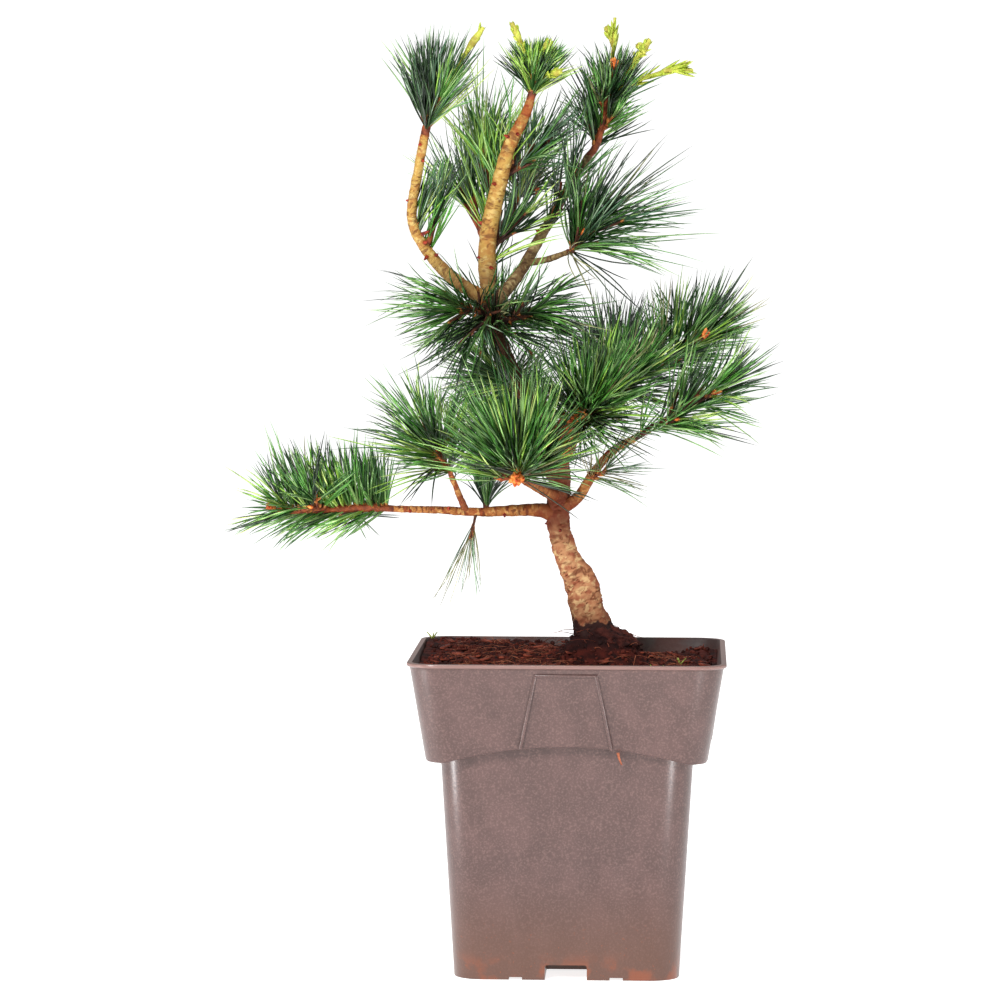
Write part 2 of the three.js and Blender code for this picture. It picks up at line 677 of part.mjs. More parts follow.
function growSprays(plan, plans, taken) {
  const { mass, shape, spine } = plan;
  const random = seededRandom(FIRST_SEED + SEED_STEP * MASSES.indexOf(mass));
  const otherSpines = plans.filter((other) => other !== plan).map((other) => other.spine);
  const solids = [shape.solid];

  const tryStretch = (from, to, radius) => {
    const stretch = { from, to, radius, owner: mass.name };
    const overPot = to.z < POT_CLEAR_Z;
    if (overPot || touchesAny(stretch, taken)) {
      return false;
    }
    taken.push(stretch);
    return true;
  };

  const trySpray = (from, direction, length) => SPRAY_TRIES.some((share) => {
    const to = from.clone().addScaledVector(direction, length * share);
    const inside = keepsToSpace(from, to, [spine], otherSpines, mass.slack ?? SPACE_SLACK);
    if (!inside || !tryStretch(from, to, SPRAY_HALF_WIDTH)) {
      return false;
    }
    solids.push(sprayBlade(from, to));
    return true;
  });

  const twigs = [];
  for (let i = 0; i < (mass.twigs ?? 0); i += 1) {
    const share = TWIG_PLACES.low + (TWIG_PLACES.extra * i) / mass.twigs;
    const { point, heading } = alongStem(shape.stations, share);
    const direction = leaving(heading, i * GOLDEN_ANGLE + TWIG_TURN, TWIG_ANGLE, TWIG_LIFT);
    const end = point.clone().addScaledVector(direction, mass.twigLength);
    if (tryStretch(point, end, TWIG_RADIUS)) {
      solids.push(cone(point, end, TWIG_RADIUS, TWIG_TIP_SHARE * TWIG_RADIUS, TWIG_SIDES));
      twigs.push({ point, direction });
    }
  }

  const first = mass.side ? firstClearShare(mass, shape.stations) : SPRAY_FIRST;
  const perTwig = twigs.length ? Math.round(mass.sprays * TWIG_SPRAYS) : 0;
  const onStem = mass.sprays - perTwig * twigs.length;
  const opening = Math.cos(THREE.MathUtils.degToRad(mass.open));
  const closing = Math.cos(THREE.MathUtils.degToRad(mass.close));
  const sprayAngle = (share) => {
    const straight = Math.acos(THREE.MathUtils.lerp(opening, closing, share));
    return straight + ANGLE_JITTER * (random() - 0.5);
  };
  const sprayLength = ({ low, extra }) => mass.spray * (low + extra * random());
  for (let i = 0; i < onStem; i += 1) {
    const share = THREE.MathUtils.lerp(first, 1, i / (onStem - 1));
    const { point, heading } = alongStem(shape.stations, share);
    const angle = sprayAngle(share);
    const turn = i * GOLDEN_ANGLE + TURN_JITTER * random();
    const direction = leaving(heading, turn, angle, mass.lift, mass.comb);
    trySpray(point, direction, sprayLength(SPRAY_SPAN));
  }
  for (const { point, direction } of twigs) {
    for (let i = 0; i < perTwig; i += 1) {
      const { low, high } = TWIG_SPRAY_PLACES;
      const share = THREE.MathUtils.lerp(low, high, i / (perTwig - 1));
      const from = point.clone().addScaledVector(direction, share * mass.twigLength);
      const angle = sprayAngle(share);
      const turn = i * GOLDEN_ANGLE + random();
      const heading = leaving(direction, turn, angle, mass.lift, mass.comb);
      trySpray(from, heading, sprayLength(TWIG_SPRAY_SPAN));
    }
  }
  const whole = unite([...solids, ...growCandles(mass, shape, random, tryStretch)]);
  return mass.side ? whole.subtract(sockets[mass.side]) : whole;
}

function growCandles(mass, shape, random, tryStretch) {
  const foot = alongStem(shape.stations, CANDLE_FOOT).point;
  return (mass.candles ?? []).flatMap((place) => {
    const tip = new THREE.Vector3(...place);
    if (!tryStretch(foot, tip, CANDLE_RADIUS)) {
      return [];
    }
    const heading = new THREE.Vector3().subVectors(tip, foot).normalize();
    const solids = [cone(foot, tip, CANDLE_RADIUS, CANDLE_TIP_SHARE * CANDLE_RADIUS, STEM_SIDES)];
    for (let i = 0; i < CANDLE_SPRAYS; i += 1) {
      const { low, high } = CANDLE_SPRAY_PLACES;
      const from = foot.clone().lerp(tip, THREE.MathUtils.lerp(low, high, i / (CANDLE_SPRAYS - 1)));
      const outward = leaving(heading, i * GOLDEN_ANGLE, CANDLE_ANGLE, 0);
      const length = CANDLE_SPRAY * (CANDLE_SPRAY_SPAN.low + CANDLE_SPRAY_SPAN.extra * random());
      const to = from.clone().addScaledVector(outward, length);
      if (tryStretch(from, to, SPRAY_HALF_WIDTH)) {
        solids.push(sprayBlade(from, to));
      }
    }
    return solids;
  });
}

// The whole plant

const plant = new THREE.Group();

const finishes = {
  pot: new THREE.MeshStandardMaterial({ color: 0x84716f, roughness: 0.7, metalness: 0 }),
  soil: new THREE.MeshStandardMaterial({ color: 0x3d2219, roughness: 1, metalness: 0 }),
  bark: new THREE.MeshStandardMaterial({ color: 0xa98263, roughness: 0.9, metalness: 0 }),
  needles: new THREE.MeshStandardMaterial({ color: 0x2f5a3a, roughness: 0.55, metalness: 0 }),
};

function addPiece(name, solid, material) {
  const mesh = new THREE.Mesh(toGeometry(solid), material);
  mesh.name = name;
  plant.add(mesh);
}

const limbs = {};
const sockets = {};

function addLimb(limb, carrier) {
  const shape = limbShape(limb);
  limbs[limb.name] = shape;
  sockets[limb.name] = limbShape(limb, SEAT_GAP).solid;
  return carrier ? shape.solid.subtract(sockets[carrier]) : shape.solid;
}

const CUT_HALF = 50;
const CUT_DEPTH = 40;
const belowGround = (depth) => box(
  [-CUT_HALF, CUT_HALF],
  [-CUT_HALF, CUT_HALF],
  [GROUND - CUT_DEPTH, GROUND - depth],
);
const trunk = addLimb(TRUNK).subtract(belowGround(0));
addPiece("pot", makePot(), finishes.pot);
addPiece("potting_soil", makeSoil(sockets.trunk.subtract(belowGround(SEAT_GAP))), finishes.soil);
addPiece("trunk", trunk, finishes.bark);

// Boughs that leave the trunk side by side are cut clear of the ones before them
const cutLimbs = [];
for (const bough of BOUGHS) {
  const clear = cutLimbs.reduce((solid, name) => solid.subtract(sockets[name]), addLimb(bough, "trunk"));
  addPiece(bough.name, clear, finishes.bark);
  cutLimbs.push(bough.name);
}
for (const twig of TWIGS) {
  addPiece(twig.name, addLimb(twig, twig.carrier), finishes.bark);
}

// The left and the centre leader show their bark in front. Copies of their stretches, moved
// forward step by step, keep the sprays from crossing there.
const BARE_LEADERS = ["leader_left", "leader_centre"];
const BARE_FIRST = 1;
const BARE_STEPS = [7, 14, 21, 28, 35];
const taken = Object.entries(limbs).flatMap(([name, shape]) => capsulesOf(shape.stations, name));
const bare = BARE_LEADERS.flatMap((name) => (
  taken.filter(({ owner }) => owner === name).slice(BARE_FIRST)
));
for (const step of BARE_STEPS) {
  const forward = new THREE.Vector3(0, -step, 0);
  taken.push(...bare.map(({ from, to, ...rest }) => (
    { from: from.clone().add(forward), to: to.clone().add(forward), ...rest }
  )));
}
const plans = MASSES.map(planShoots);
taken.push(...plans.flatMap(({ mass, shape }) => capsulesOf(shape.stations, mass.name)));
for (const plan of plans) {
  addPiece(plan.mass.name, growSprays(plan, plans, taken), finishes.needles);
}

export default plant;
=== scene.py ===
# %% [markdown]
# # A young white pine in a square nursery pot
#
# The plant is a five-needle pine, about 40 cm high with its pot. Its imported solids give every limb
# and every mass of needles its place and reach. This lesson dresses them: a moulded pot, peat with
# its fibres, bark with real relief, and thousands of needles that grow by the solids' own rule.

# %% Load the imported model
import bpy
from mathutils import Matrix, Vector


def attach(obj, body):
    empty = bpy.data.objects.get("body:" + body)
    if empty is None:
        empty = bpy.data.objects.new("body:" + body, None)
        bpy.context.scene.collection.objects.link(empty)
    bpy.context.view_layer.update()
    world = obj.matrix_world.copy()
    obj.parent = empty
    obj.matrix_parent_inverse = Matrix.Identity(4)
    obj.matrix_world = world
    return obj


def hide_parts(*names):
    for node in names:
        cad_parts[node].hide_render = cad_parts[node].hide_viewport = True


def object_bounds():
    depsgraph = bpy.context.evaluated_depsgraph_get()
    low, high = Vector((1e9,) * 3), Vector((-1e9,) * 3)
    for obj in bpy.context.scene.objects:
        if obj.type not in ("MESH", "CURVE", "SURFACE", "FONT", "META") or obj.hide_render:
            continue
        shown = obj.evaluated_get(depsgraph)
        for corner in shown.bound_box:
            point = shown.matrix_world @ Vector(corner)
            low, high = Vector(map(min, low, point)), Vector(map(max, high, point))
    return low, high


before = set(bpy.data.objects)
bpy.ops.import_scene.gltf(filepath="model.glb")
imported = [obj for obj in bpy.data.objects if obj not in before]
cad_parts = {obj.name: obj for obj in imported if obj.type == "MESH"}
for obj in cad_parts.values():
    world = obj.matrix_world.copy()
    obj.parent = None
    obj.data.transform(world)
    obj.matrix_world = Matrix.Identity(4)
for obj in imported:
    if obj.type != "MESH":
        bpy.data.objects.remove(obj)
cad_low, cad_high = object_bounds()
print("solids", len(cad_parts), "box", tuple(cad_low), tuple(cad_high))

# %% Tools for the whole lesson
import math

import bmesh
import bpy
import numpy as np
from mathutils import Matrix, Vector, noise

MM = 0.001
UP = Vector((0, 0, 1))
EAST = Vector((1, 0, 0))
FULL_TURN = 6.28  # near enough where strands are rolled at random
BODY = "root"

# %% [markdown]
# ## Finishes
#
# Each finish starts from a Principled shader. Its colour comes from noise textures that mix a few
# named tints, so no picture is needed. The pot, the soil and the small pieces read Object
# coordinates, in metres. Bark follows its limb instead: every limb carries its own straightened
# place as an attribute, so cracks run round it whichever way it leans.

# %% Helpers for finishes
def linear(value):
    """One colour value as an eye reads it, from 0 to 255, made linear for the shader."""
    share = value / 255
    return ((share + 0.055) / 1.055) ** 2.4 if value > 10 else share / 12.92


def tint(red, green, blue):
    return (linear(red), linear(green), linear(blue), 1.0)


def new_finish(name, roughness, specular=0.5):
    material = bpy.data.materials.new(name)
    material.use_nodes = True
    shader = material.node_tree.nodes["Principled BSDF"]
    shader.inputs["Roughness"].default_value = roughness
    shader.inputs["Specular IOR Level"].default_value = specular
    return material, shader


def add_node(near, kind, **values):
    """A new node in the finish that a socket or another node belongs to."""
    node = near.id_data.nodes.new("ShaderNode" + kind)
    for key, value in values.items():
        setattr(node, key, value)
    return node


def link(output, socket):
    socket.id_data.links.new(output, socket)


def object_place(near):
    return add_node(near, "TexCoord").outputs["Object"]


def attribute(near, name, output="Fac"):
    return add_node(near, "Attribute", attribute_name=name).outputs[output]


def cloud(place, size, detail=4.0, distortion=0.0, stretch=(1, 1, 1)):
    """Noise whose patches are about size metres wide, as a value from 0 to 1."""
    mapping = add_node(place, "Mapping")
    mapping.inputs["Scale"].default_value = [s / size for s in stretch]
    link(place, mapping.inputs["Vector"])
    node = add_node(place, "TexNoise")
    node.inputs["Scale"].default_value = 1.0
    node.inputs["Detail"].default_value = detail
    node.inputs["Distortion"].default_value = distortion
    link(mapping.outputs["Vector"], node.inputs["Vector"])
    return node.outputs["Fac"]


def ramp(value, low, high):
    """Spreads a value so that low gives 0 and high gives 1."""
    node = add_node(value, "MapRange", interpolation_type="SMOOTHSTEP")
    node.inputs["From Min"].default_value = low
    node.inputs["From Max"].default_value = high
    link(value, node.inputs["Value"])
    return node.outputs["Result"]


def feed(socket, value):
    """Links another node's output to a socket, or sets a plain value on it."""
    if isinstance(value, bpy.types.NodeSocket):
        link(value, socket)
    else:
        socket.default_value = value


def mix_tints(share, first, second):
    node = add_node(share, "Mix", data_type="RGBA")
    feed(node.inputs[0], share)
    feed(node.inputs[6], first)
    feed(node.inputs[7], second)
    return node.outputs[2]


def layered(colour, layers):
    """Lays tints over a colour, one after the other, each by its own share."""
    for share, layer in layers:
        colour = mix_tints(share, colour, layer)
    return colour


def times(first, second):
    node = add_node(first, "Math", operation="MULTIPLY")
    feed(node.inputs[0], first)
    feed(node.inputs[1], second)
    return node.outputs[0]


def height_of(near):
    split = add_node(near, "SeparateXYZ")
    link(object_place(near), split.inputs[0])
    return split.outputs["Z"]


def add_bump(shader, height, strength, depth):
    bump = add_node(shader, "Bump")
    bump.inputs["Strength"].default_value = strength
    bump.inputs["Distance"].default_value = depth
    link(height, bump.inputs["Height"])
    link(bump.outputs["Normal"], shader.inputs["Normal"])


# %% [markdown]
# ### Pot plastic
#
# The pot is thin polypropylene in a dark mauve brown. It is matt with a soft gloss and has a fine,
# pale grain of dust. Its thin rim is painted lighter as a highlight. It is browner towards its foot
# and keeps rusty soil marks there. Each of these is a layer, laid over the plastic's own tint by its
# share.

# %% Pot plastic
POT_PLASTIC = tint(70, 50, 47)
POT_DUST = tint(80, 58, 55)
POT_GRAIN = tint(118, 92, 86)
GRAIN_SHARE = 0.42
# painted highlight along the top of the rim
POT_LIP_HIGHLIGHT = tint(122, 94, 88)
POT_FOOT = tint(86, 56, 42)
FOOT_SHARE = 0.75
SOIL_MARK = tint(112, 60, 38)
# the inner wall's plastic, painted a little darker as shade
INNER_WALL_SHADE = tint(66, 50, 48)
PEAT_SMEAR = tint(70, 32, 24)
# The heights in metres between which a shade comes in.
LIP_HIGHLIGHT_SPAN = (0.1291, 0.1299)
BROWN_SPAN = (0.05, 0.0)
STAIN_SPAN = (0.013, 0.002)
CRUMB_SPAN = (0.03, 0.004)


def pot_plastic():
    material, shader = new_finish("pot_plastic", 0.3, 0.5)
    place = object_place(shader)
    height = height_of(shader)
    film = ramp(cloud(place, 0.009, 8, 0.2, (1, 1, 0.7)), 0.35, 0.7)
    mottle = ramp(cloud(place, 0.0008, 3), 0.44, 0.72)
    patchy = ramp(cloud(place, 0.012, 5), 0.48, 0.6)
    crumbs = ramp(cloud(place, 0.0013, 3), 0.66, 0.7)
    brown, lip, stain, crumbed = (
        ramp(height, *span) for span in (BROWN_SPAN, LIP_HIGHLIGHT_SPAN, STAIN_SPAN, CRUMB_SPAN)
    )
    colour = layered(POT_PLASTIC, [
        (film, POT_DUST),
        (times(mottle, GRAIN_SHARE), POT_GRAIN),
        (times(brown, FOOT_SHARE), POT_FOOT),
        # the top of the rim, painted lighter as a highlight
        (lip, POT_LIP_HIGHLIGHT),
        (times(stain, patchy), SOIL_MARK),
        (times(crumbs, crumbed), SOIL_MARK),
    ])
    link(colour, shader.inputs["Base Color"])
    add_bump(shader, cloud(place, 0.0012, 3), 0.16, 0.0004)
    return material


def pot_inside():
    """The inner wall, a touch darker as painted shade, and smeared with peat."""
    material, shader = new_finish("pot_inside", 0.5, 0.4)
    place = object_place(shader)
    smear = ramp(cloud(place, 0.014, 5), 0.42, 0.6)
    link(mix_tints(smear, INNER_WALL_SHADE, PEAT_SMEAR), shader.inputs["Base Color"])
    add_bump(shader, cloud(place, 0.002, 3), 0.3, 0.0004)
    return material


# %% [markdown]
# ### Peat
#
# Moist peat is nearly black in its hollows and red-brown on its crumbs. The crumbs, fibres and
# chips are real pieces, so one kind of finish does for all of them: two tints in small patches.
# Where the soil is heaped, at the left and the back, it is darker.

# %% Peat, fibre, chip and sprout finishes
HEAP = tint(30, 13, 13)
HEAP_SPAN = (0.1315, 0.135)
HEAP_SHARE = 0.85


def speckled(name, dark, light, size, roughness, bump=0.0, specular=0.3, heap=None):
    """Two tints in patches of about size metres. A heap tint takes over where the soil is high."""
    material, shader = new_finish(name, roughness, specular)
    place = object_place(shader)
    patches = cloud(place, size, 5)
    colour = mix_tints(ramp(patches, 0.35, 0.65), tint(*dark), tint(*light))
    if heap:
        high = ramp(height_of(shader), *HEAP_SPAN)
        colour = mix_tints(times(high, HEAP_SHARE), colour, heap)
    link(colour, shader.inputs["Base Color"])
    if bump:
        add_bump(shader, cloud(place, size / 4, 4), bump, size / 8)
    return material


peat = speckled("peat", (28, 8, 7), (66, 22, 16), 0.005, 0.85, 0.6, 0.12, HEAP)
clod_finish = speckled("peat_clod", (34, 13, 12), (72, 32, 26), 0.004, 0.85, 0.7, 0.15)
crumb_finish = speckled("peat_crumb", (38, 12, 9), (84, 32, 22), 0.009, 0.8, 0.5, 0.15, HEAP)
fibre_finish = speckled("peat_fibre", (92, 38, 26), (156, 92, 66), 0.008, 0.65, specular=0.2)
chip_finish = speckled("bark_chip", (70, 24, 16), (134, 62, 42), 0.006, 0.7, 0.4, 0.2)
sprout_finish = speckled("weed_sprout", (118, 128, 50), (176, 186, 92), 0.004, 0.5)

# %% [markdown]
# ### Bark
#
# Old bark on the trunk is tan with pink and cream patches and dark cracks that run round it. The
# young boughs are orange and straw with red-brown scars. One function makes every bark: it mixes
# tints by noise on the limb's straightened place, paints the left and right flanks redder as shade,
# then darkens the hollows by the depth attribute that the relief leaves. Shades at certain heights
# come on top, such as the stain of the peat at the trunk's foot, the orange-red towards the leaders'
# tops, or a painted shadow that darkens the trunk where it runs up into the crown.

# %% Bark finishes
BARK_TINTS = {  # the base, warm, pale and crack tint of each bark
    "trunk": ((168, 120, 84), (138, 78, 54), (188, 152, 108), (92, 48, 28)),
    "bough": ((156, 100, 52), (126, 60, 30), (178, 132, 78), (80, 34, 20)),
    "leader": ((168, 134, 68), (156, 110, 56), (184, 156, 94), (92, 46, 24)),
    "leader_shaded": ((122, 100, 66), (98, 72, 46), (146, 128, 88), (62, 40, 26)),
}
TRUNK_SHADES = [  # from height, to height, share, tint, raggedness and size of its patches
    (0.174, 0.186, 0.85, (98, 42, 26), 0.012, 0.005),
    # painted shadow: nearly black where the trunk runs up into the crown
    (0.226, 0.25, 0.75, (46, 38, 26), 0.02, 0.005),
    (0.154, 0.145, 0.5, (98, 56, 36), 0.008, 0.005),
    (0.1445, 0.1425, 1.0, (40, 18, 15), 0.012, 0.0035),
]
LEADER_SHADES = [
    (0.3, 0.284, 0.5, (112, 86, 58), 0.01, 0.005),
    (0.34, 0.352, 0.7, (128, 46, 18), 0.07, 0.004),
]
COLLAR_SPAN = (0.013, 0.006)
COLLAR_SHARE = 0.8
COLLAR_TINT = tint(112, 52, 32)


def bark_colour(place, tints, patch, dash, cracked):
    """Patches of three tints, flanks painted redder as shade, and short soft dashes that run round the
    limb.
    """
    base, warm, pale, crack = (tint(*values) for values in tints)
    patches = ramp(cloud(place, patch, 4, 0.3, (1, 1, 1.3)), 0.42, 0.62)
    creamy = ramp(cloud(place, patch * 0.6, 4, 0.2, (1, 1, 1.5)), 0.5, 0.64)
    uneven = ramp(cloud(place, patch, 3), 0.3, 0.6)
    # the left and right flanks, painted redder and darker as shade
    flank_shade = times(ramp(attribute(place, "bark_flank_shade"), 0.3, 0.95), uneven)
    layers = [(patches, warm), (creamy, pale), (flank_shade, warm)]
    for size, low, share in ((dash, 0.54, cracked), (dash * 0.5, 0.58, cracked * 0.6)):
        dashes = ramp(cloud(place, size, 2, 0.2, (0.6, 0.6, 1.9)), low, low + 0.14)
        layers.append((times(dashes, share), crack))
    hollow = ramp(attribute(place, "bark_depth"), 0.1, 0.7)
    layers.append((times(hollow, cracked), crack))
    return layered(base, layers)


def height_shade(near, low, high, share, shade, ragged, size):
    """A layer that comes in where the height passes from low to high, with a ragged border."""
    moved = add_node(near, "Math", operation="MULTIPLY_ADD")
    link(cloud(object_place(near), size, 4), moved.inputs[0])
    moved.inputs[1].default_value = ragged
    link(height_of(near), moved.inputs[2])
    border = ramp(moved.outputs[0], low + ragged / 2, high + ragged / 2)
    return times(border, share), tint(*shade)


def collar_shade(place):
    """A layer as red-brown as the fork, at the foot of each bough."""
    split = add_node(place, "SeparateXYZ")
    link(place, split.inputs[0])
    return times(ramp(split.outputs["Z"], *COLLAR_SPAN), COLLAR_SHARE), COLLAR_TINT


def bark(kind, patch, dash, cracked, roughness, shades=(), collar=False):
    material, shader = new_finish("bark_" + kind, roughness, 0.15)
    place = attribute(shader, "limb_place", "Vector")
    colour = bark_colour(place, BARK_TINTS[kind], patch, dash, cracked)
    layers = [height_shade(place, *shade) for shade in shades]
    if collar:
        layers.append(collar_shade(place))
    link(layered(colour, layers), shader.inputs["Base Color"])
    add_bump(shader, cloud(place, 0.0008, 5, 0.5, (1, 1, 1.6)), 0.5, 0.0004)
    return material


trunk_finish = bark("trunk", 0.0055, 0.0045, 0.75, 0.72, TRUNK_SHADES)
bough_finish = bark("bough", 0.005, 0.003, 0.75, 0.6, collar=True)
leader_finish = bark("leader", 0.006, 0.0034, 0.7, 0.6, LEADER_SHADES)
shaded_finish = bark("leader_shaded", 0.005, 0.0034, 0.7, 0.6)
dark_shoot_finish = speckled("bark_shoot_shaded", (38, 18, 12), (84, 44, 26), 0.0035, 0.7, 0.5)
shoot_finish = speckled("bark_shoot", (72, 26, 12), (138, 66, 30), 0.0035, 0.6, 0.5)
sheath_finish = speckled("needle_sheath", (92, 42, 20), (176, 112, 54), 0.004, 0.55, 0.3)
bud_finish = speckled("bud_scale", (176, 64, 24), (238, 148, 72), 0.0022, 0.5, 0.5)
nub_finish = speckled("spur_nub", (80, 16, 12), (150, 50, 26), 0.0015, 0.6, 0.4)

# %% [markdown]
# ### Needles
#
# A needle of this pine is three-sided: its back is green and its two inner sides carry whitish
# lines. Each tint is therefore a pair of finishes, a green back and a paler inner side, and whole
# sprays share one tint. That paler side is partly the whitish lines and partly a painted highlight.

# %% Needle finishes
# the paler inner side is partly whitish lines and partly painted highlight
NEEDLE_TINTS = {  # the green back and the paler inner side
    "deep": ((19, 42, 20), (66, 98, 56)),
    "forest": ((42, 90, 34), (118, 160, 90)),
    "grass": ((88, 152, 60), (160, 202, 120)),
    "leaf": ((156, 204, 78), (206, 230, 132)),
    "bluish": ((70, 108, 76), (158, 186, 152)),
    "straw": ((132, 132, 84), (180, 178, 130)),
}
NEEDLE_SHADE = 0.82


def needle_finish(name, colour):
    dark = [value * NEEDLE_SHADE for value in colour]
    return speckled("needle_" + name, dark, colour, 0.012, 0.34, specular=0.6)


needle_finishes = {
    name: (needle_finish(name, back), needle_finish(name + "_inner", inner))
    for name, (back, inner) in NEEDLE_TINTS.items()
}
candle_finish = speckled("candle_stem", (150, 136, 50), (186, 188, 78), 0.003, 0.5, 0.3)
candle_needle_finish = speckled("candle_needle", (142, 162, 40), (196, 206, 84), 0.006, 0.45)
print("finishes", len(bpy.data.materials))

# %% [markdown]
# ## Light and camera
#
# The plant stands on a plain white floor in soft light from all round, with a large lamp at the
# left front for the shine on the needles. Two low strips beside the pot draw the soft bands on its
# rounded corners. The sky looks brighter to the camera than it shines, which keeps the background
# white and the plant's shade deep. The camera is about 2 m away with a long lens, level with the
# crown and tilted down a little, so it just sees into the pot.

# %% Floor and sky
FLOOR_SIZE = 400.0
FLOOR_GLOW = 0.82
SKY_LIGHT = 0.37
SKY_SEEN = 1.1
WHITE = (1, 1, 1, 1)
PALE = (0.8, 0.8, 0.8, 1)
scene = bpy.context.scene

floor_mesh = bmesh.new()
bmesh.ops.create_grid(floor_mesh, x_segments=1, y_segments=1, size=FLOOR_SIZE / 2)
floor_data = bpy.data.meshes.new("floor")
floor_mesh.to_mesh(floor_data)
floor_mesh.free()
floor = bpy.data.objects.new("floor", floor_data)
scene.collection.objects.link(floor)
floor_finish, floor_shader = new_finish("floor_white", 0.9, 0.0)
floor_shader.inputs["Base Color"].default_value = PALE
floor_shader.inputs["Emission Color"].default_value = WHITE
floor_shader.inputs["Emission Strength"].default_value = FLOOR_GLOW
floor_data.materials.append(floor_finish)

world = bpy.data.worlds.new("studio")
scene.world = world
world.use_nodes = True
background = world.node_tree.nodes["Background"]
background.inputs["Color"].default_value = WHITE
ray = world.node_tree.nodes.new("ShaderNodeLightPath")
strength = world.node_tree.nodes.new("ShaderNodeMapRange")
strength.inputs["To Min"].default_value = SKY_LIGHT
strength.inputs["To Max"].default_value = SKY_SEEN
world.node_tree.links.new(ray.outputs["Is Camera Ray"], strength.inputs["Value"])
world.node_tree.links.new(strength.outputs["Result"], background.inputs["Strength"])
scene.view_settings.view_transform = "Standard"
scene.view_settings.look = "None"
print("floor", FLOOR_SIZE, "m across")

# %% Lamps
CROWN = Vector((-0.02, 0, 0.25))
POT_MIDDLE = Vector((0, 0, 0.08))
LAMPS = [  # name, place, width and height in metres, power in watts, and where it aims
    ("key_lamp", (-0.8, -1.9, 1.3), (0.5, 0.5), 55, CROWN),
    ("side_lamp", (2.0, -0.3, 0.7), (0.9, 0.9), 12, CROWN),
    ("top_lamp", (-0.2, 0.9, 1.9), (0.8, 0.8), 16, CROWN),
    ("left_strip", (-0.3, -0.165, 0.035), (0.05, 0.06), 0.5, POT_MIDDLE),
    ("right_strip", (0.19, -0.3, 0.035), (0.04, 0.06), 0.4, POT_MIDDLE),
]

for name, place, (width, height), watts, aim in LAMPS:
    lamp = bpy.data.lights.new(name, "AREA")
    lamp.shape = "RECTANGLE"
    lamp.size = width
    lamp.size_y = height
    lamp.energy = watts
    holder = bpy.data.objects.new(name, lamp)
    holder.location = place
    holder.rotation_euler = (aim - Vector(place)).to_track_quat("-Z", "Y").to_euler()
    scene.collection.objects.link(holder)
print("lamps", len(LAMPS))

# %% Camera
FOCAL_PIXELS = 4860
IMAGE_PIXELS = 1000
SENSOR_WIDTH = 36
YAW, PITCH, ROLL = -0.039, -0.063, 0.003
EYE = Vector((0.0494, -2.016, 0.321))

ahead = Vector((math.sin(YAW) * math.cos(PITCH), math.cos(YAW) * math.cos(PITCH), math.sin(PITCH)))
level = ahead.cross(UP).normalized()
above = level.cross(ahead)
right = level * math.cos(ROLL) + above * math.sin(ROLL)
top = above * math.cos(ROLL) - level * math.sin(ROLL)
camera_data = bpy.data.cameras.new("camera")
camera_data.sensor_width = SENSOR_WIDTH
camera_data.lens = SENSOR_WIDTH * FOCAL_PIXELS / IMAGE_PIXELS
camera = bpy.data.objects.new("camera", camera_data)
camera.matrix_world = Matrix.Translation(EYE) @ Matrix((right, top, -ahead)).transposed().to_4x4()
scene.collection.objects.link(camera)
bpy.context.scene.camera = camera
print("lens", round(camera_data.lens, 1), "mm")

# %% [markdown]
# ## From a mesh to a piece
#
# Every piece is modelled where it stands, so its object stays at the origin, unturned. One helper
# closes the job: it names the piece, gives it its finishes, shades it smooth up to an angle, puts
# it on the plant's body, hides the solids that it stands for and prints how many triangles it has.

# %% Making pieces
def add_piece(name, mesh, finishes, stands_for=(), smooth_angle=None):
    piece = bpy.data.objects.new(name, mesh)
    mesh.name = name
    scene.collection.objects.link(piece)
    for finish in finishes:
        mesh.materials.append(finish)
    if smooth_angle is not None:
        mesh.shade_smooth()
        mesh.set_sharp_from_angle(angle=math.radians(smooth_angle))
    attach(piece, BODY)
    if stands_for:
        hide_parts(*stands_for)
    print(name, "triangles", sum(len(face.vertices) - 2 for face in mesh.polygons))


def mesh_of(bm):
    """Turns a finished bmesh, drawn in millimetres, into a mesh in metres."""
    bmesh.ops.transform(bm, matrix=Matrix.Scale(MM, 4), verts=bm.verts)
    mesh = bpy.data.meshes.new("made")
    bm.to_mesh(mesh)
    bm.free()
    return mesh


# %% [markdown]
# ## The pot
#
# A nursery pot is one moulded skin: a square body with a wider, arched collar on top and a small
# lip round the mouth. It could be carved from a block, but it is closer to the real wall to draw
# its rounded square once and pull that ring up the outside, over the lip and down the inside. The
# collar's arched edge comes from lifting the rings there by a formula.

# %% Pot sizes
POT_HEIGHT = 131
RIM_HALF = 65
COLLAR_TOP_HALF = 64.1
COLLAR_FOOT_HALF = 57.6
COLLAR_FOOT = 90
BODY_TOP_HALF = 52.4
BODY_TOP = 100
BODY_FOOT_HALF = 46.2
CORNER_RADIUS = 12
WALL = 1.6
POT_FLOOR = 1.8
ARCH_HALF_SPAN = 50
ARCH_RISE = 7
CORNER_CUTS = 10
SIDE_CUTS = 25
SOFT_EDGE = 0.5
LIP_DROP = 1.9
MOUTH_DROP = 0.4


def taper(height, foot, foot_half, head, head_half):
    return foot_half + (head_half - foot_half) * (height - foot) / (head - foot)


def body_half(height):
    return taper(height, 0, BODY_FOOT_HALF, BODY_TOP, BODY_TOP_HALF)


def collar_half(height):
    return taper(height, COLLAR_FOOT, COLLAR_FOOT_HALF, POT_HEIGHT, COLLAR_TOP_HALF)


def arch_rise(x, y):
    across = min(abs(x), abs(y)) / ARCH_HALF_SPAN
    return ARCH_RISE * max(0.0, 1 - across * across)


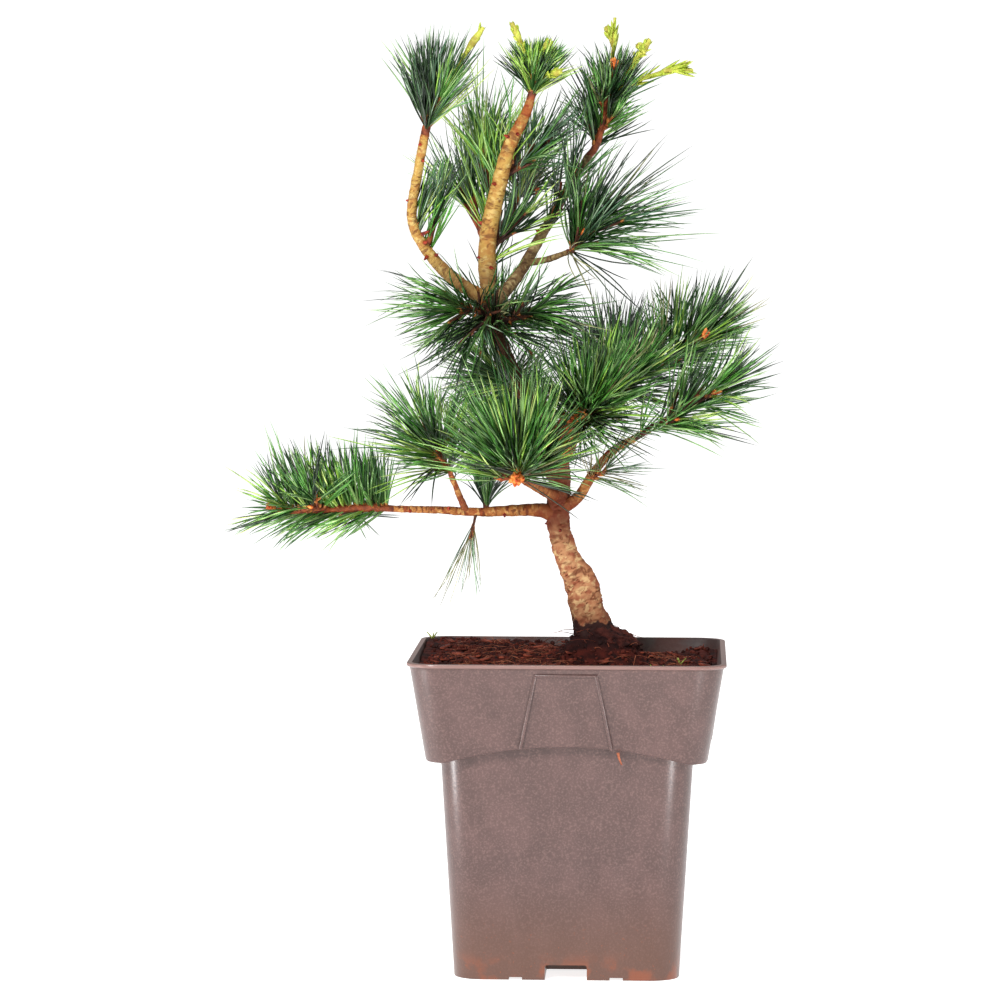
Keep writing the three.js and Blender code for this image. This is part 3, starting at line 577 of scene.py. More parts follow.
# %% The rounded square ring, pulled up ring by ring
def rounded_square(bm, corner_cuts, side_cuts):
    """A ring of half width 1. Returns each vertex with its share of the straight part and its arc."""
    made = bmesh.ops.create_circle(bm, segments=4, radius=math.sqrt(2))
    bmesh.ops.rotate(bm, matrix=Matrix.Rotation(math.pi / 4, 3, "Z"), verts=made["verts"])
    share = CORNER_RADIUS / BODY_FOOT_HALF
    bmesh.ops.bevel(bm, geom=made["verts"] + bm.edges[:], affect="VERTICES", offset=share,
                    segments=corner_cuts, profile=0.5, material=-1)
    long_edges = [edge for edge in bm.edges if edge.calc_length() > share]
    bmesh.ops.subdivide_edges(bm, edges=long_edges, cuts=side_cuts)
    straight = 1 - share
    ring = []
    for vertex in bm.verts:
        held = Vector([max(-straight, min(straight, c)) for c in vertex.co.xy])
        ring.append((vertex, held / straight, (vertex.co.xy - held) / share))
    return ring


def place_ring(ring, half, radius, height, arched):
    for vertex, square, arc in ring:
        flat = square * (half - radius) + arc * radius
        rise = arch_rise(*flat) if arched else 0
        vertex.co = (flat.x, flat.y, height + rise)


def pull_ring(bm, ring):
    """Extrudes the ring's edges and returns the new ring, in the same order."""
    old = {vertex for vertex, _, _ in ring}
    edges = [edge for edge in bm.edges if edge.verts[0] in old and edge.verts[1] in old]
    made = bmesh.ops.extrude_edge_only(bm, edges=edges)["geom"]
    new = {item for item in made if isinstance(item, bmesh.types.BMVert)}
    follow = {}
    for vertex in new:
        for edge in vertex.link_edges:
            other = edge.other_vert(vertex)
            if other in old:
                follow[other] = vertex
    return [(follow[vertex], square, arc) for vertex, square, arc in ring]


def pot_levels():
    """Half width, corner radius, height and whether the arch lifts it: up outside, down inside."""
    ledge = body_half(COLLAR_FOOT)
    inner_collar = COLLAR_FOOT + WALL
    inner_radius = CORNER_RADIUS - WALL
    lip = RIM_HALF - collar_half(POT_HEIGHT)
    return [
        (BODY_FOOT_HALF - SOFT_EDGE, CORNER_RADIUS - SOFT_EDGE, 0, False),
        (BODY_FOOT_HALF - SOFT_EDGE / 4, CORNER_RADIUS, SOFT_EDGE / 3, False),
        (body_half(SOFT_EDGE), CORNER_RADIUS, SOFT_EDGE, False),
        (ledge, CORNER_RADIUS, COLLAR_FOOT, True),
        (COLLAR_FOOT_HALF - SOFT_EDGE, CORNER_RADIUS, COLLAR_FOOT, True),
        (COLLAR_FOOT_HALF - SOFT_EDGE / 5, CORNER_RADIUS, COLLAR_FOOT + SOFT_EDGE / 3, True),
        (collar_half(COLLAR_FOOT + SOFT_EDGE), CORNER_RADIUS, COLLAR_FOOT + SOFT_EDGE, True),
        (collar_half(POT_HEIGHT - 2.6), CORNER_RADIUS, POT_HEIGHT - 2.6, False),
        (collar_half(POT_HEIGHT - LIP_DROP) + 0.1, CORNER_RADIUS, POT_HEIGHT - LIP_DROP, False),
        (RIM_HALF - lip / 3, CORNER_RADIUS, POT_HEIGHT - 1.5, False),
        (RIM_HALF, CORNER_RADIUS, POT_HEIGHT - 1.1, False),
        (RIM_HALF, CORNER_RADIUS, POT_HEIGHT - MOUTH_DROP, False),
        (RIM_HALF - 0.15, CORNER_RADIUS, POT_HEIGHT - 0.1, False),
        (RIM_HALF - SOFT_EDGE, CORNER_RADIUS - MOUTH_DROP, POT_HEIGHT, False),
        (collar_half(POT_HEIGHT) - WALL + 0.3, inner_radius, POT_HEIGHT, False),
        (collar_half(POT_HEIGHT) - WALL, inner_radius, POT_HEIGHT - MOUTH_DROP, False),
        (collar_half(inner_collar) - WALL, inner_radius, inner_collar, True),
        (body_half(inner_collar) - WALL, inner_radius, inner_collar, True),
        (body_half(POT_FLOOR) - WALL, inner_radius, POT_FLOOR, False),
    ]


def pot_skin():
    bm = bmesh.new()
    ring = rounded_square(bm, CORNER_CUTS, SIDE_CUTS)
    bmesh.ops.delete(bm, geom=bm.faces[:], context="FACES_ONLY")
    for index, (half, radius, height, arched) in enumerate(pot_levels()):
        if index:
            ring = pull_ring(bm, ring)
        place_ring(ring, half, radius, height, arched)
    rims = [edge for edge in bm.edges if edge.is_boundary]
    bmesh.ops.holes_fill(bm, edges=rims, sides=0)
    bmesh.ops.recalc_face_normals(bm, faces=bm.faces)
    return bm


# %% [markdown]
# ### Drain pockets and grooves
#
# Water leaves through a pocket in the middle of each foot edge, with two shallow grooves beside
# it. A Boolean modifier is the plain way to cut them: first the pockets' own walls are joined on
# inside the pot, then the pockets are taken out. Faces that look inwards get the inner finish.

# %% Cutting the foot
POCKET_HALF = 8.6
POCKET_HEIGHT = 6.3
POCKET_REACH = 29
POCKET_EDGE = 1.0
HOUSING_FOOT = 0.2
HOUSING_INSET = 1.2
GROOVE_HALF = 2.7
GROOVE_HEIGHT = 1.2
GROOVE_REACH = 16
GROOVE_CENTRE = 20.6
PAST = 5
FACING_IN = -0.3
INSIDE_FROM = 0.02


def add_block(bm, low, high, soften=0.0):
    """A box between two corners, with its edges rounded by soften."""
    made = bmesh.ops.create_cube(bm, size=1.0)["verts"]
    bmesh.ops.scale(bm, vec=[end - start for start, end in zip(low, high)], verts=made)
    bmesh.ops.translate(bm, vec=[(end + start) / 2 for start, end in zip(low, high)], verts=made)
    if soften:
        edges = {edge for vertex in made for edge in vertex.link_edges}
        bmesh.ops.bevel(bm, geom=list(edges), affect="EDGES", offset=soften, segments=3,
                        profile=0.5, material=-1)


def on_four_sides(bm, build):
    for quarter in range(4):
        before = set(bm.verts)
        build(bm)
        new = [vertex for vertex in bm.verts if vertex not in before]
        bmesh.ops.rotate(bm, matrix=Matrix.Rotation(quarter * math.pi / 2, 3, "Z"), verts=new)


def pocket_housing(bm):
    """The solid walls of a pocket: the pocket itself, grown by the wall."""
    add_block(bm, (-POCKET_HALF - WALL, HOUSING_INSET - BODY_FOOT_HALF, HOUSING_FOOT),
              (POCKET_HALF + WALL, POCKET_REACH + WALL - BODY_FOOT_HALF, POCKET_HEIGHT + WALL))


def pocket(bm):
    add_block(bm, (-POCKET_HALF, -RIM_HALF, -PAST),
              (POCKET_HALF, POCKET_REACH - BODY_FOOT_HALF, POCKET_HEIGHT), POCKET_EDGE)


def grooves(bm):
    for middle in (-GROOVE_CENTRE, GROOVE_CENTRE):
        add_block(bm, (middle - GROOVE_HALF, -RIM_HALF, -PAST),
                  (middle + GROOVE_HALF, GROOVE_REACH - BODY_FOOT_HALF, GROOVE_HEIGHT))


def tool_object(name, *builders):
    bm = bmesh.new()
    for build in builders:
        on_four_sides(bm, build)
    tool = bpy.data.objects.new(name, mesh_of(bm))
    scene.collection.objects.link(tool)
    return tool


def cut(mesh, steps):
    """Applies Boolean steps to a mesh and returns the result."""
    blank = bpy.data.objects.new("blank", mesh)
    scene.collection.objects.link(blank)
    for operation, tool in steps:
        modifier = blank.modifiers.new(operation, "BOOLEAN")
        modifier.operation = operation
        modifier.object = tool
        modifier.solver = "EXACT"
    result = bpy.data.meshes.new_from_object(blank.evaluated_get(bpy.context.evaluated_depsgraph_get()))
    bpy.data.objects.remove(blank)
    for _, tool in steps:
        bpy.data.objects.remove(tool)
    return result


housings = tool_object("housings", pocket_housing)
hollows = tool_object("hollows", pocket, grooves)
pot_mesh = cut(mesh_of(pot_skin()), [("UNION", housings), ("DIFFERENCE", hollows)])
for face in pot_mesh.polygons:
    looks_in = face.normal.xy.dot(face.center.xy.normalized()) < FACING_IN
    face.material_index = 1 if looks_in and face.center.z > INSIDE_FROM else 0
pot_finish = pot_plastic()
add_piece("pot_shell", pot_mesh, [pot_finish, pot_inside()], ["pot"], smooth_angle=32)

# %% [markdown]
# ### Panel ridges
#
# Each face of the collar has a raised line round a tapered panel, open at the foot. It is made of
# three thin bars that meet at two corners. Each bar is a block laid against the collar's sloping
# face, and its edges are rounded with a bevel so that it catches the light as a moulded ridge does.

# %% Panel ridges
PANEL_TOP = 127.2
PANEL_TOP_HALF = 13
PANEL_FOOT = 96
PANEL_FOOT_HALF = 19
RIDGE_WIDTH = 1.3
RIDGE_PROUD = 0.7
RIDGE_EDGE = 0.45


def ridge_bar(bm, start, end):
    """A bar along the collar's sloping face from start to end, each given as x and height."""
    before = set(bm.verts)
    along = Vector((end[0] - start[0], 0, end[1] - start[1]))
    half = RIDGE_WIDTH / 2
    add_block(bm, (-half, -RIDGE_PROUD, -half), (along.length + half, RIDGE_PROUD, half), RIDGE_EDGE)
    new = [vertex for vertex in bm.verts if vertex not in before]
    angle = math.atan2(along.z, along.x)
    bmesh.ops.rotate(bm, matrix=Matrix.Rotation(-angle, 3, "Y"), verts=new)
    bmesh.ops.translate(bm, vec=(start[0], 0, start[1]), verts=new)
    for vertex in new:
        vertex.co.y -= collar_half(vertex.co.z)


def panel_ridge(bm):
    inset = RIDGE_WIDTH / 2
    foot = (PANEL_FOOT_HALF - inset, PANEL_FOOT + inset)
    head = (PANEL_TOP_HALF - inset, PANEL_TOP - inset)
    ridge_bar(bm, (-foot[0], foot[1]), (-head[0], head[1]))
    ridge_bar(bm, (-head[0], head[1]), head)
    ridge_bar(bm, foot, head)


ridge_mesh = bmesh.new()
on_four_sides(ridge_mesh, panel_ridge)
add_piece("pot_panel_ridges", mesh_of(ridge_mesh), [pot_finish], smooth_angle=40)

# %% [markdown]
# ## The potting soil
#
# The peat fills the pot to 5 mm below its rim, lies a little higher at the left and the back, and
# rises round the foot of the trunk. A grid is pressed into the pot's rounded square. Its height
# comes from the same swells and mound as the solid with finer noise on top, and its border is
# pulled down to make it a closed body. Crumbs, fibres and chips are scattered over it as small
# pieces of their own.

# %% Soil surface
SOIL_LEVEL = 126
SOIL_LUMP = 0.8
SOIL_TILT = 0.03
SOIL_HEAP = 2.6
SEAT_GAP = 0.3
MOUND_CENTRE = Vector((13, 0))
MOUND_HEIGHT = 15
MOUND_RADIUS = 17
SOIL_CELLS = 150
SOIL_ROOM = collar_half(SOIL_LEVEL) - WALL - SEAT_GAP
SOIL_CORNER = CORNER_RADIUS - WALL - SEAT_GAP
SOIL_LEDGE = COLLAR_FOOT + WALL + ARCH_RISE + 1
SOIL_FOOT = POT_FLOOR + 8


def soft_step(share):
    share = max(0.0, min(1.0, share))
    return share * share * (3 - 2 * share)


def soil_height(x, y):
    """The solid's swells and mound, with lumps by noise and heaps at the left and the back."""
    swell = math.sin(0.19 * x + 1.1) * math.cos(0.16 * y - 0.4) + 0.6 * math.sin(0.41 * x - 0.33 * y)
    reach = (Vector((x, y)) - MOUND_CENTRE).length / MOUND_RADIUS
    mound = MOUND_HEIGHT * math.exp(-(reach ** 2.5))
    place = Vector((x, y, 0))
    lumps = 0.9 * noise.noise(place * 0.22) + 0.7 * noise.noise(place * 0.5)
    lumps += 0.35 * noise.noise(place * 1.3)
    heap = SOIL_HEAP * soft_step((8 - x) / 34) * soft_step((y + 25) / 60)
    heap += SOIL_HEAP * soft_step((x - 44) / 12) * soft_step((y - 20) / 30)
    return SOIL_LEVEL - SOIL_TILT * x + SOIL_LUMP * swell * 0.6 + mound + 0.7 * lumps + heap


def into_pot(x, y, half, radius):
    """Moves a point into a rounded square, along the line to its corner's centre."""
    inner = half - radius
    corner = Vector((max(-inner, min(inner, x)), max(-inner, min(inner, y))))
    arm = Vector((x, y)) - corner
    return corner + arm * min(1.0, radius / max(arm.length, 1e-6))


def soil_body():
    """The surface, and a skirt down the collar, in over its ledge and down the body."""
    bm = bmesh.new()
    bmesh.ops.create_grid(bm, x_segments=SOIL_CELLS, y_segments=SOIL_CELLS, size=SOIL_ROOM)
    for vertex in bm.verts:
        spot = into_pot(vertex.co.x, vertex.co.y, SOIL_ROOM, SOIL_CORNER)
        vertex.co = (spot.x, spot.y, soil_height(spot.x, spot.y))
    border = [edge for edge in bm.edges if edge.is_boundary]
    skirts = ((SOIL_LEDGE, collar_half), (SOIL_LEDGE, body_half), (SOIL_FOOT, body_half))
    for height, wall_half in skirts:
        skirt = bmesh.ops.extrude_edge_only(bm, edges=border)["geom"]
        border = [item for item in skirt if isinstance(item, bmesh.types.BMEdge)]
        for vertex in {vertex for edge in border for vertex in edge.verts}:
            spot = vertex.co.xy * ((wall_half(height) - WALL - SEAT_GAP) / SOIL_ROOM)
            vertex.co = (spot.x, spot.y, height)
    bmesh.ops.holes_fill(bm, edges=border, sides=0)
    bmesh.ops.recalc_face_normals(bm, faces=bm.faces)
    return bm


add_piece("soil_bed", mesh_of(soil_body()), [peat], ["potting_soil"], smooth_angle=60)

# %% [markdown]
# ### Small things by the thousand
#
# A crumb, a chip, a fibre or a needle is modelled once with bmesh and read into an array. Copies
# are then placed together by array sums and written out as one joined mesh, which keeps thousands
# of small solids cheap and lets each kind stay one piece.

# %% Joined copies of a small shape
def template_of(bm):
    """The vertices and triangles of a small shape, with each triangle's finish."""
    bmesh.ops.triangulate(bm, faces=bm.faces)
    bm.verts.index_update()
    points = np.array([vertex.co[:] for vertex in bm.verts])
    faces = np.array([[vertex.index for vertex in face.verts] for face in bm.faces])
    slots = np.array([face.material_index for face in bm.faces])
    bm.free()
    return points, faces, slots


def joined_mesh(name, groups):
    """One mesh from groups of copies. Each group has points as copies by vertices by 3, in mm."""
    points, faces, slots, start = [], [], [], 0
    for copies, template_faces, template_slots in groups:
        count, size = copies.shape[:2]
        points.append(copies.reshape(-1, 3))
        offsets = start + size * np.arange(count)
        faces.append((template_faces[None] + offsets[:, None, None]).reshape(-1, 3))
        slots.append(np.tile(template_slots, count))
        start += count * size
    points, faces, slots = np.concatenate(points) * MM, np.concatenate(faces), np.concatenate(slots)
    mesh = bpy.data.meshes.new(name)
    mesh.vertices.add(len(points))
    mesh.vertices.foreach_set("co", points.astype(np.float32).ravel())
    mesh.loops.add(faces.size)
    mesh.loops.foreach_set("vertex_index", faces.astype(np.int32).ravel())
    mesh.polygons.add(len(faces))
    mesh.polygons.foreach_set("loop_start", np.arange(0, faces.size, 3, dtype=np.int32))
    mesh.polygons.foreach_set("material_index", slots.astype(np.int32))
    mesh.update(calc_edges=True)
    mesh.validate()
    return mesh


def unit(vectors):
    return vectors / np.linalg.norm(vectors, axis=1)[:, None]


def random_turns(draw, count):
    """Even random rotations, from random quaternions."""
    w, x, y, z = unit(draw.normal(size=(count, 4))).T
    rows = [1 - 2 * (y * y + z * z), 2 * (x * y - w * z), 2 * (x * z + w * y),
            2 * (x * y + w * z), 1 - 2 * (x * x + z * z), 2 * (y * z - w * x),
            2 * (x * z - w * y), 2 * (y * z + w * x), 1 - 2 * (x * x + y * y)]
    return np.stack(rows, axis=1).reshape(-1, 3, 3)


def scatter_spots(draw, count, margin):
    """Random spots on the soil, kept inside the pot and away from its wall."""
    half = SOIL_ROOM - margin
    spots = draw.uniform(-half, half, size=(count, 2))
    held = [into_pot(x, y, half, SOIL_CORNER) for x, y in spots]
    return np.array([[spot.x, spot.y, soil_height(spot.x, spot.y)] for spot in held])


# %% Crumbs, chips and the clod round the trunk
CRUMBS = 2600
CRUMB_SHAPES = 4
CRUMB_SIZES = (0.3, 1.3)
CHIPS = 150
CHIP_SIZES = (0.9, 2.8)
CHIP_FLATNESS = 0.8
SUNK = 0.3
CLOD_CENTRE = Vector((14.5, -1, 133))
CLOD_SIZE = Matrix.Diagonal((13, 11, 8.5))
CLOD_SEED = Vector((4, 1, 9))


def crumb_shape(seed):
    bm = bmesh.new()
    bmesh.ops.create_icosphere(bm, subdivisions=1, radius=1.0)
    for vertex in bm.verts:
        vertex.co *= 0.78 + 0.5 * noise.noise(vertex.co * 1.3 + Vector((seed, 0, 0)))
    return template_of(bm)


def chip_shape():
    bm = bmesh.new()
    add_block(bm, (-1, -0.55, -0.16), (1, 0.55, 0.16))
    bmesh.ops.subdivide_edges(bm, edges=bm.edges[:], cuts=1, use_grid_fill=True)
    for vertex in bm.verts:
        wave = noise.noise(vertex.co * 1.7 + Vector((3, 7, 0)))
        vertex.co += Vector((0.2 * wave, 0.25 * wave, 0.16 * wave))
    return template_of(bm)


def clod():
    """The dark root ball round the foot of the trunk: a ball pressed flat and roughened by noise."""
    bm = bmesh.new()
    bmesh.ops.create_icosphere(bm, subdivisions=6, radius=1.0)
    for vertex in bm.verts:
        out = vertex.co.copy()
        rough = 0.5 * noise.noise(out * 1.7 + CLOD_SEED) + 0.3 * noise.noise(out * 4.1 + CLOD_SEED)
        rough += 0.16 * noise.noise(out * 9.0) + 0.07 * noise.noise(out * 21.0)
        vertex.co = CLOD_CENTRE + CLOD_SIZE @ out * (1 + 0.5 * rough)
    return bm


def laid_flat(draw, turns, flatness):
    """Mixes random turns with turns about the upright axis, so that most copies lie flat."""
    angle = draw.uniform(0, 2 * math.pi, len(turns))
    level = np.zeros(turns.shape)
    level[:, 0, 0] = level[:, 1, 1] = np.cos(angle)
    level[:, 1, 0] = np.sin(angle)
    level[:, 0, 1] = -np.sin(angle)
    level[:, 2, 2] = 1
    turns = np.linalg.qr(flatness * level + (1 - flatness) * turns)[0]
    return turns * np.sign(np.linalg.det(turns))[:, None, None]


def scattered(draw, shape, count, sizes, margin, flatness=0.0):
    """Copies of a shape strewn on the soil: turned at random, or mostly flat, and sunk a little."""
    points, faces, slots = shape
    spots = scatter_spots(draw, count, margin)
    turns = random_turns(draw, count)
    if flatness:
        turns = laid_flat(draw, turns, flatness)
    scale = draw.uniform(*sizes, count)
    copies = np.einsum("nij,kj->nki", turns, points) * scale[:, None, None]
    spots[:, 2] += SUNK * scale
    copies += spots[:, None]
    return copies, faces, slots


draw = np.random.default_rng(11)
crumbs = [scattered(draw, crumb_shape(seed), CRUMBS // CRUMB_SHAPES, CRUMB_SIZES, 2.5)
          for seed in range(CRUMB_SHAPES)]
chips = scattered(draw, chip_shape(), CHIPS, CHIP_SIZES, 4, CHIP_FLATNESS)
add_piece("soil_crumbs", joined_mesh("crumbs", crumbs), [crumb_finish])
add_piece("soil_chips", joined_mesh("chips", [chips]), [chip_finish])
add_piece("soil_clod", mesh_of(clod()), [clod_finish], smooth_angle=60)

# %% [markdown]
# ### Fibres and sprouts
#
# Peat is full of short roots and straws. A fibre is a three-sided needle of many short steps, bent
# by a wave along it, and lies on the soil. A few straws stand up at the edge, a root hangs out
# under the collar at the front, and three tiny weeds have come up.

# %% Placing strands: foot, heading, bend, length and width of each
def side_vectors(headings):
    """Two directions across each heading, square to it and to each other."""
    helper = np.where(np.abs(headings[:, 2:]) < 0.9, [[0.0, 0.0, 1.0]], [[1.0, 0.0, 0.0]])
    across = unit(np.cross(headings, helper))
    return across, np.cross(headings, across)


def run_along(feet, headings, bends, lengths, shares):
    """Points at some shares of each strand, which bends away from its heading as it goes."""
    share = shares[None, :, None]
    runs = headings[:, None] * share + bends[:, None] * share ** 2
    return feet[:, None] + lengths[:, None, None] * runs


def place_strands(template, feet, headings, bends, lengths, widths, rolls):
    points, faces, slots = template
    across, other = side_vectors(headings)
    side = across * np.cos(rolls)[:, None] + other * np.sin(rolls)[:, None]
    front = np.cross(headings, side)
    line = run_along(feet, headings, bends, lengths, points[:, 2])
    width = widths[:, None, None]
    skin = width * (side[:, None] * points[None, :, :1] + front[:, None] * points[None, :, 1:2])
    return line + skin, faces, slots


def place_straight(draw, template, feet, headings, lengths, widths):
    """Strands without a bend, each rolled at random."""
    rolls = draw.uniform(0, FULL_TURN, len(feet))
    return place_strands(template, feet, headings, np.zeros((len(feet), 3)), lengths, widths, rolls)


def stray_strands(rows):
    """Single strands, each given by its foot, heading, bend, length and half width in mm."""
    feet, headings, bends, lengths, widths = (np.array(column, float) for column in zip(*rows))
    rolls = np.zeros(len(rows))
    return place_strands(fibre_template, feet, unit(headings), bends, lengths, widths, rolls)


# %% Fibres
FIBRES = 320
FIBRE_STEPS = 8
FIBRE_RISE = 0.35
STRAYS = [  # foot, heading, bend, length and half width: a root under the collar, then straws
    ((21.3, -58.6, 95.2), (0.1, -0.05, -1), (0.2, 0, 0), 5, 0.8),
    ((-12, 58, 129.5), (0.5, 0, 0.9), (0.7, 0, -0.9), 6, 0.3),
    ((-7, 57, 129.5), (0.8, 0, 0.7), (0, 0, -0.6), 5, 0.25),
    ((27, -50, 127), (0.05, 0, 1), (0.1, 0, 0), 7, 0.3),
    ((56, 40, 128), (-0.3, 0, 1), (0.4, 0, -0.5), 6, 0.3),
]


def strand_shape(steps, sides, girth):
    """A thin closed strand along +Z from 0 to 1. girth gives its radius at each share of it."""
    bm = bmesh.new()
    levels = [bmesh.ops.create_circle(bm, cap_ends=True, segments=sides, radius=1.0)["verts"]]
    end = list(bm.faces)
    for _ in range(steps):
        made = bmesh.ops.extrude_face_region(bm, geom=end)["geom"]
        end = [item for item in made if isinstance(item, bmesh.types.BMFace)]
        levels.append(list(end[0].verts))
        bmesh.ops.translate(bm, vec=(0, 0, 1 / steps), verts=levels[-1])
    for index, ring in enumerate(levels):
        radius = girth(index / steps)
        bmesh.ops.scale(bm, vec=(radius, radius, 1), verts=ring)
    bmesh.ops.recalc_face_normals(bm, faces=bm.faces)
    return bm


fibre_template = template_of(strand_shape(FIBRE_STEPS, 3, lambda share: 1.0 - 0.5 * share))


def lay_strands(draw, template, spots, lengths, widths, rise):
    """Fibres that start at spots and run over the soil with a sideways wave."""
    points, faces, slots = template
    count = len(spots)
    share = points[:, 2]
    heading = draw.uniform(0, 2 * math.pi, count)
    curl = draw.uniform(-1.6, 1.6, count)
    angle = heading[:, None] + curl[:, None] * share
    along = lengths[:, None] * share
    across = points[:, 1] * widths[:, None]
    copies = np.zeros((count, len(points), 3))
    copies[..., 0] = spots[:, None, 0] + along * np.cos(angle) - across * np.sin(angle)
    copies[..., 1] = spots[:, None, 1] + along * np.sin(angle) + across * np.cos(angle)
    hump = rise[:, None] * np.sin(math.pi * share)
    copies[..., 2] = spots[:, None, 2] + FIBRE_RISE + hump + points[:, 0] * widths[:, None]
    return copies, faces, slots


draw = np.random.default_rng(23)
fibre_spots = scatter_spots(draw, FIBRES, 12)
fibre_lengths = draw.uniform(3, 13, FIBRES)
fibre_widths = draw.uniform(0.1, 0.24, FIBRES)
fibre_rises = draw.uniform(0.2, 1.6, FIBRES)
laid = lay_strands(draw, fibre_template, fibre_spots, fibre_lengths, fibre_widths, fibre_rises)
add_piece("soil_fibres", joined_mesh("fibres", [laid, stray_strands(STRAYS)]), [fibre_finish])

# %% Sprouts
SPROUTS = [(-60, 54, 4.5), (35.5, -44, 6.5), (46, 10, 4)]
SPROUT_BLADES = 3
SPROUT_WIDTH = 0.5
SPROUT_SUNK = 0.5


def sprout_blade(x, y, tall, turn):
    """One blade of a sprout at x and y, that leans out by its turn."""
    angle = 2.1 * turn + x
    lean = (0.5 * math.cos(angle), 0.5 * math.sin(angle), 1)
    foot = (x, y, soil_height(x, y) - SPROUT_SUNK)
    return foot, lean, (0.3 * lean[0], 0.3 * lean[1], -0.15), tall, SPROUT_WIDTH


blades = [sprout_blade(*spot, turn) for spot in SPROUTS for turn in range(SPROUT_BLADES)]
add_piece("soil_sprouts", joined_mesh("sprouts", [stray_strands(blades)]), [sprout_finish])

# %% [markdown]
# ## The limbs
#
# The trunk, boughs and leaders are the same limbs as in the solids: each runs smoothly through a
# few points with a radius at each. A curve with a bevel would give a plain pipe. Here a grid is
# rolled into a tube round the line instead, because every vertex then knows its place along and
# round the limb, which the bark's relief and its finish both need.

# %% Limb paths, as x, y, z and radius in millimetres
GROUND = 136
TRUNK = ("trunk", 18, [
    (13.5, 0, 128, 9.8), (10.8, 0, 138, 8.0), (6.8, 0, 149, 6.8), (3.8, 0, 160, 6.5),
    (-1.4, 0, 171, 5.0), (-5, 0, 184, 4.7), (-5, 1, 196, 5.0), (-5, 4, 209, 4.0),
    (-12, 8, 226, 3.4), (-25, 6, 248, 3.2), (-31, 3, 264, 3.2), (-34, 0, 279, 3.6),
])
BOUGHS = [
    ("bough_left_low", [(-5, 0, 187.5, 4.2), (-14, -2, 189.8, 2.8), (-38, -5, 189, 1.8),
                        (-55, -8, 190, 1.6), (-73, -10, 190.5, 1.4)]),
    ("bough_right_low", [(-5, 0, 190, 3.2), (3, -2, 195, 2.3), (10, -5, 206, 1.9),
                         (18, -8, 215, 1.7), (27, -10.5, 220.5, 1.5)]),
    ("bough_front", [(-5, 0, 195, 2.6), (-12, -14, 199, 1.8), (-19, -31, 204, 1.4)]),
    ("bough_right_inner", [(-5, 3, 205, 2.6), (0, -4, 215, 1.9), (3, -9, 223, 1.5)]),
    ("bough_right_upper", [(-8, 6, 216, 2.4), (8, 12, 229, 1.8), (30, 13, 246, 1.5)]),
    ("bough_back_low", [(-5, 2, 202, 2.6), (-12, 20, 206, 1.9), (-20, 38, 214, 1.4)]),
    ("bough_back_right", [(-10, 7, 221, 2.3), (6, 24, 231, 1.7), (14, 38, 240, 1.4)]),
]
LEADERS = [
    ("leader_centre", [(-33.8, 0.4, 276, 2.4), (-34.6, -1, 284, 3.4), (-34.8, -2, 292, 3.8),
                       (-34, -4, 306, 3.6), (-29, -6, 328, 3.2), (-25.3, -7.5, 341, 2.8),
                       (-18.6, -8.5, 354, 2.1), (-16.8, -9, 360, 1.7)]),
    ("leader_left", [(-33, 1.2, 276, 3.0), (-48, -4, 285, 2.8), (-60, -7, 298, 2.3),
                     (-65.6, -9, 311, 2.1), (-63, -12, 330, 2.0), (-60, -14, 345, 1.8)]),
    ("leader_right", [(-33, 1, 275, 2.8), (-23, 7, 286, 2.5), (-12, 11, 305, 2.2),
                      (-4, 13, 319, 1.9), (7, 14, 337, 1.6)]),
]
TWIGS = [
    ("twig_left_inner", [(-43, -6, 189.2, 1.5), (-46, -11, 197, 1.3), (-49, -15, 205, 1.1)]),
    ("twig_right_fan", [(-19, 8.5, 292, 1.6), (-9, 0, 294, 1.3), (-1, -7, 297, 1.1)]),
    ("twig_upper_back", [(-33.8, -3, 304, 1.8), (-29, 12, 308, 1.4), (-25, 24, 316, 1.1)]),
]

# %% A smooth line through a limb's points
CURVE_STEPS = 240
LIMB_STEPS = 6
TIP_STEP = 1e-4


def smooth_point(knots, along):
    """A point on the curve through the knots, with along counted in knots."""
    before = min(int(along), len(knots) - 2)
    share = along - before
    first, second = knots[before], knots[before + 1]
    earlier = knots[before - 1] if before else 2 * first - second
    later = knots[before + 2] if before + 2 < len(knots) else 2 * second - first
    leave, arrive = (second - earlier) / 2, (later - first) / 2
    return (first + leave * share + (3 * (second - first) - 2 * leave - arrive) * share ** 2
            + (2 * (first - second) + leave + arrive) * share ** 3)


def run_lengths(line):
    """How far along a line each of its points lies."""
    return np.concatenate([[0], np.cumsum(np.linalg.norm(np.diff(line, axis=0), axis=1))])


def limb_line(path, steps):
    """Stations evenly spaced along a limb: their centres and radii, and the heading at the tip."""
    knots = [np.array(row[:3], float) for row in path]
    radii = np.array([row[3] for row in path])
    last = len(knots) - 1
    along = np.linspace(0, last, CURVE_STEPS + 1)
    run = run_lengths(np.array([smooth_point(knots, a) for a in along]))
    wanted = np.interp(np.linspace(0, run[-1], steps + 1), run, along)
    centres = np.array([smooth_point(knots, a) for a in wanted])
    heading = smooth_point(knots, last) - smooth_point(knots, last - TIP_STEP)
    return centres, np.interp(wanted, np.arange(last + 1), radii), Vector(heading).normalized()


limbs = {"trunk": (*limb_line(TRUNK[2], TRUNK[1]), TRUNK[2])}
for name, path in [*BOUGHS, *LEADERS, *TWIGS]:
    limbs[name] = (*limb_line(path, LIMB_STEPS), path)
print("limbs", len(limbs))

# %% [markdown]
# ### Bark relief
#
# Pine bark at this age is a skin of thin plates, parted by cracks that run part of the way round.
# The relief is one formula on the straightened place: broad lumps, cracks at uneven steps whose
# ends fade out by noise, and a fine grain. On the trunk, a knee swells at the right low down, and
# five roots make its foot flare.

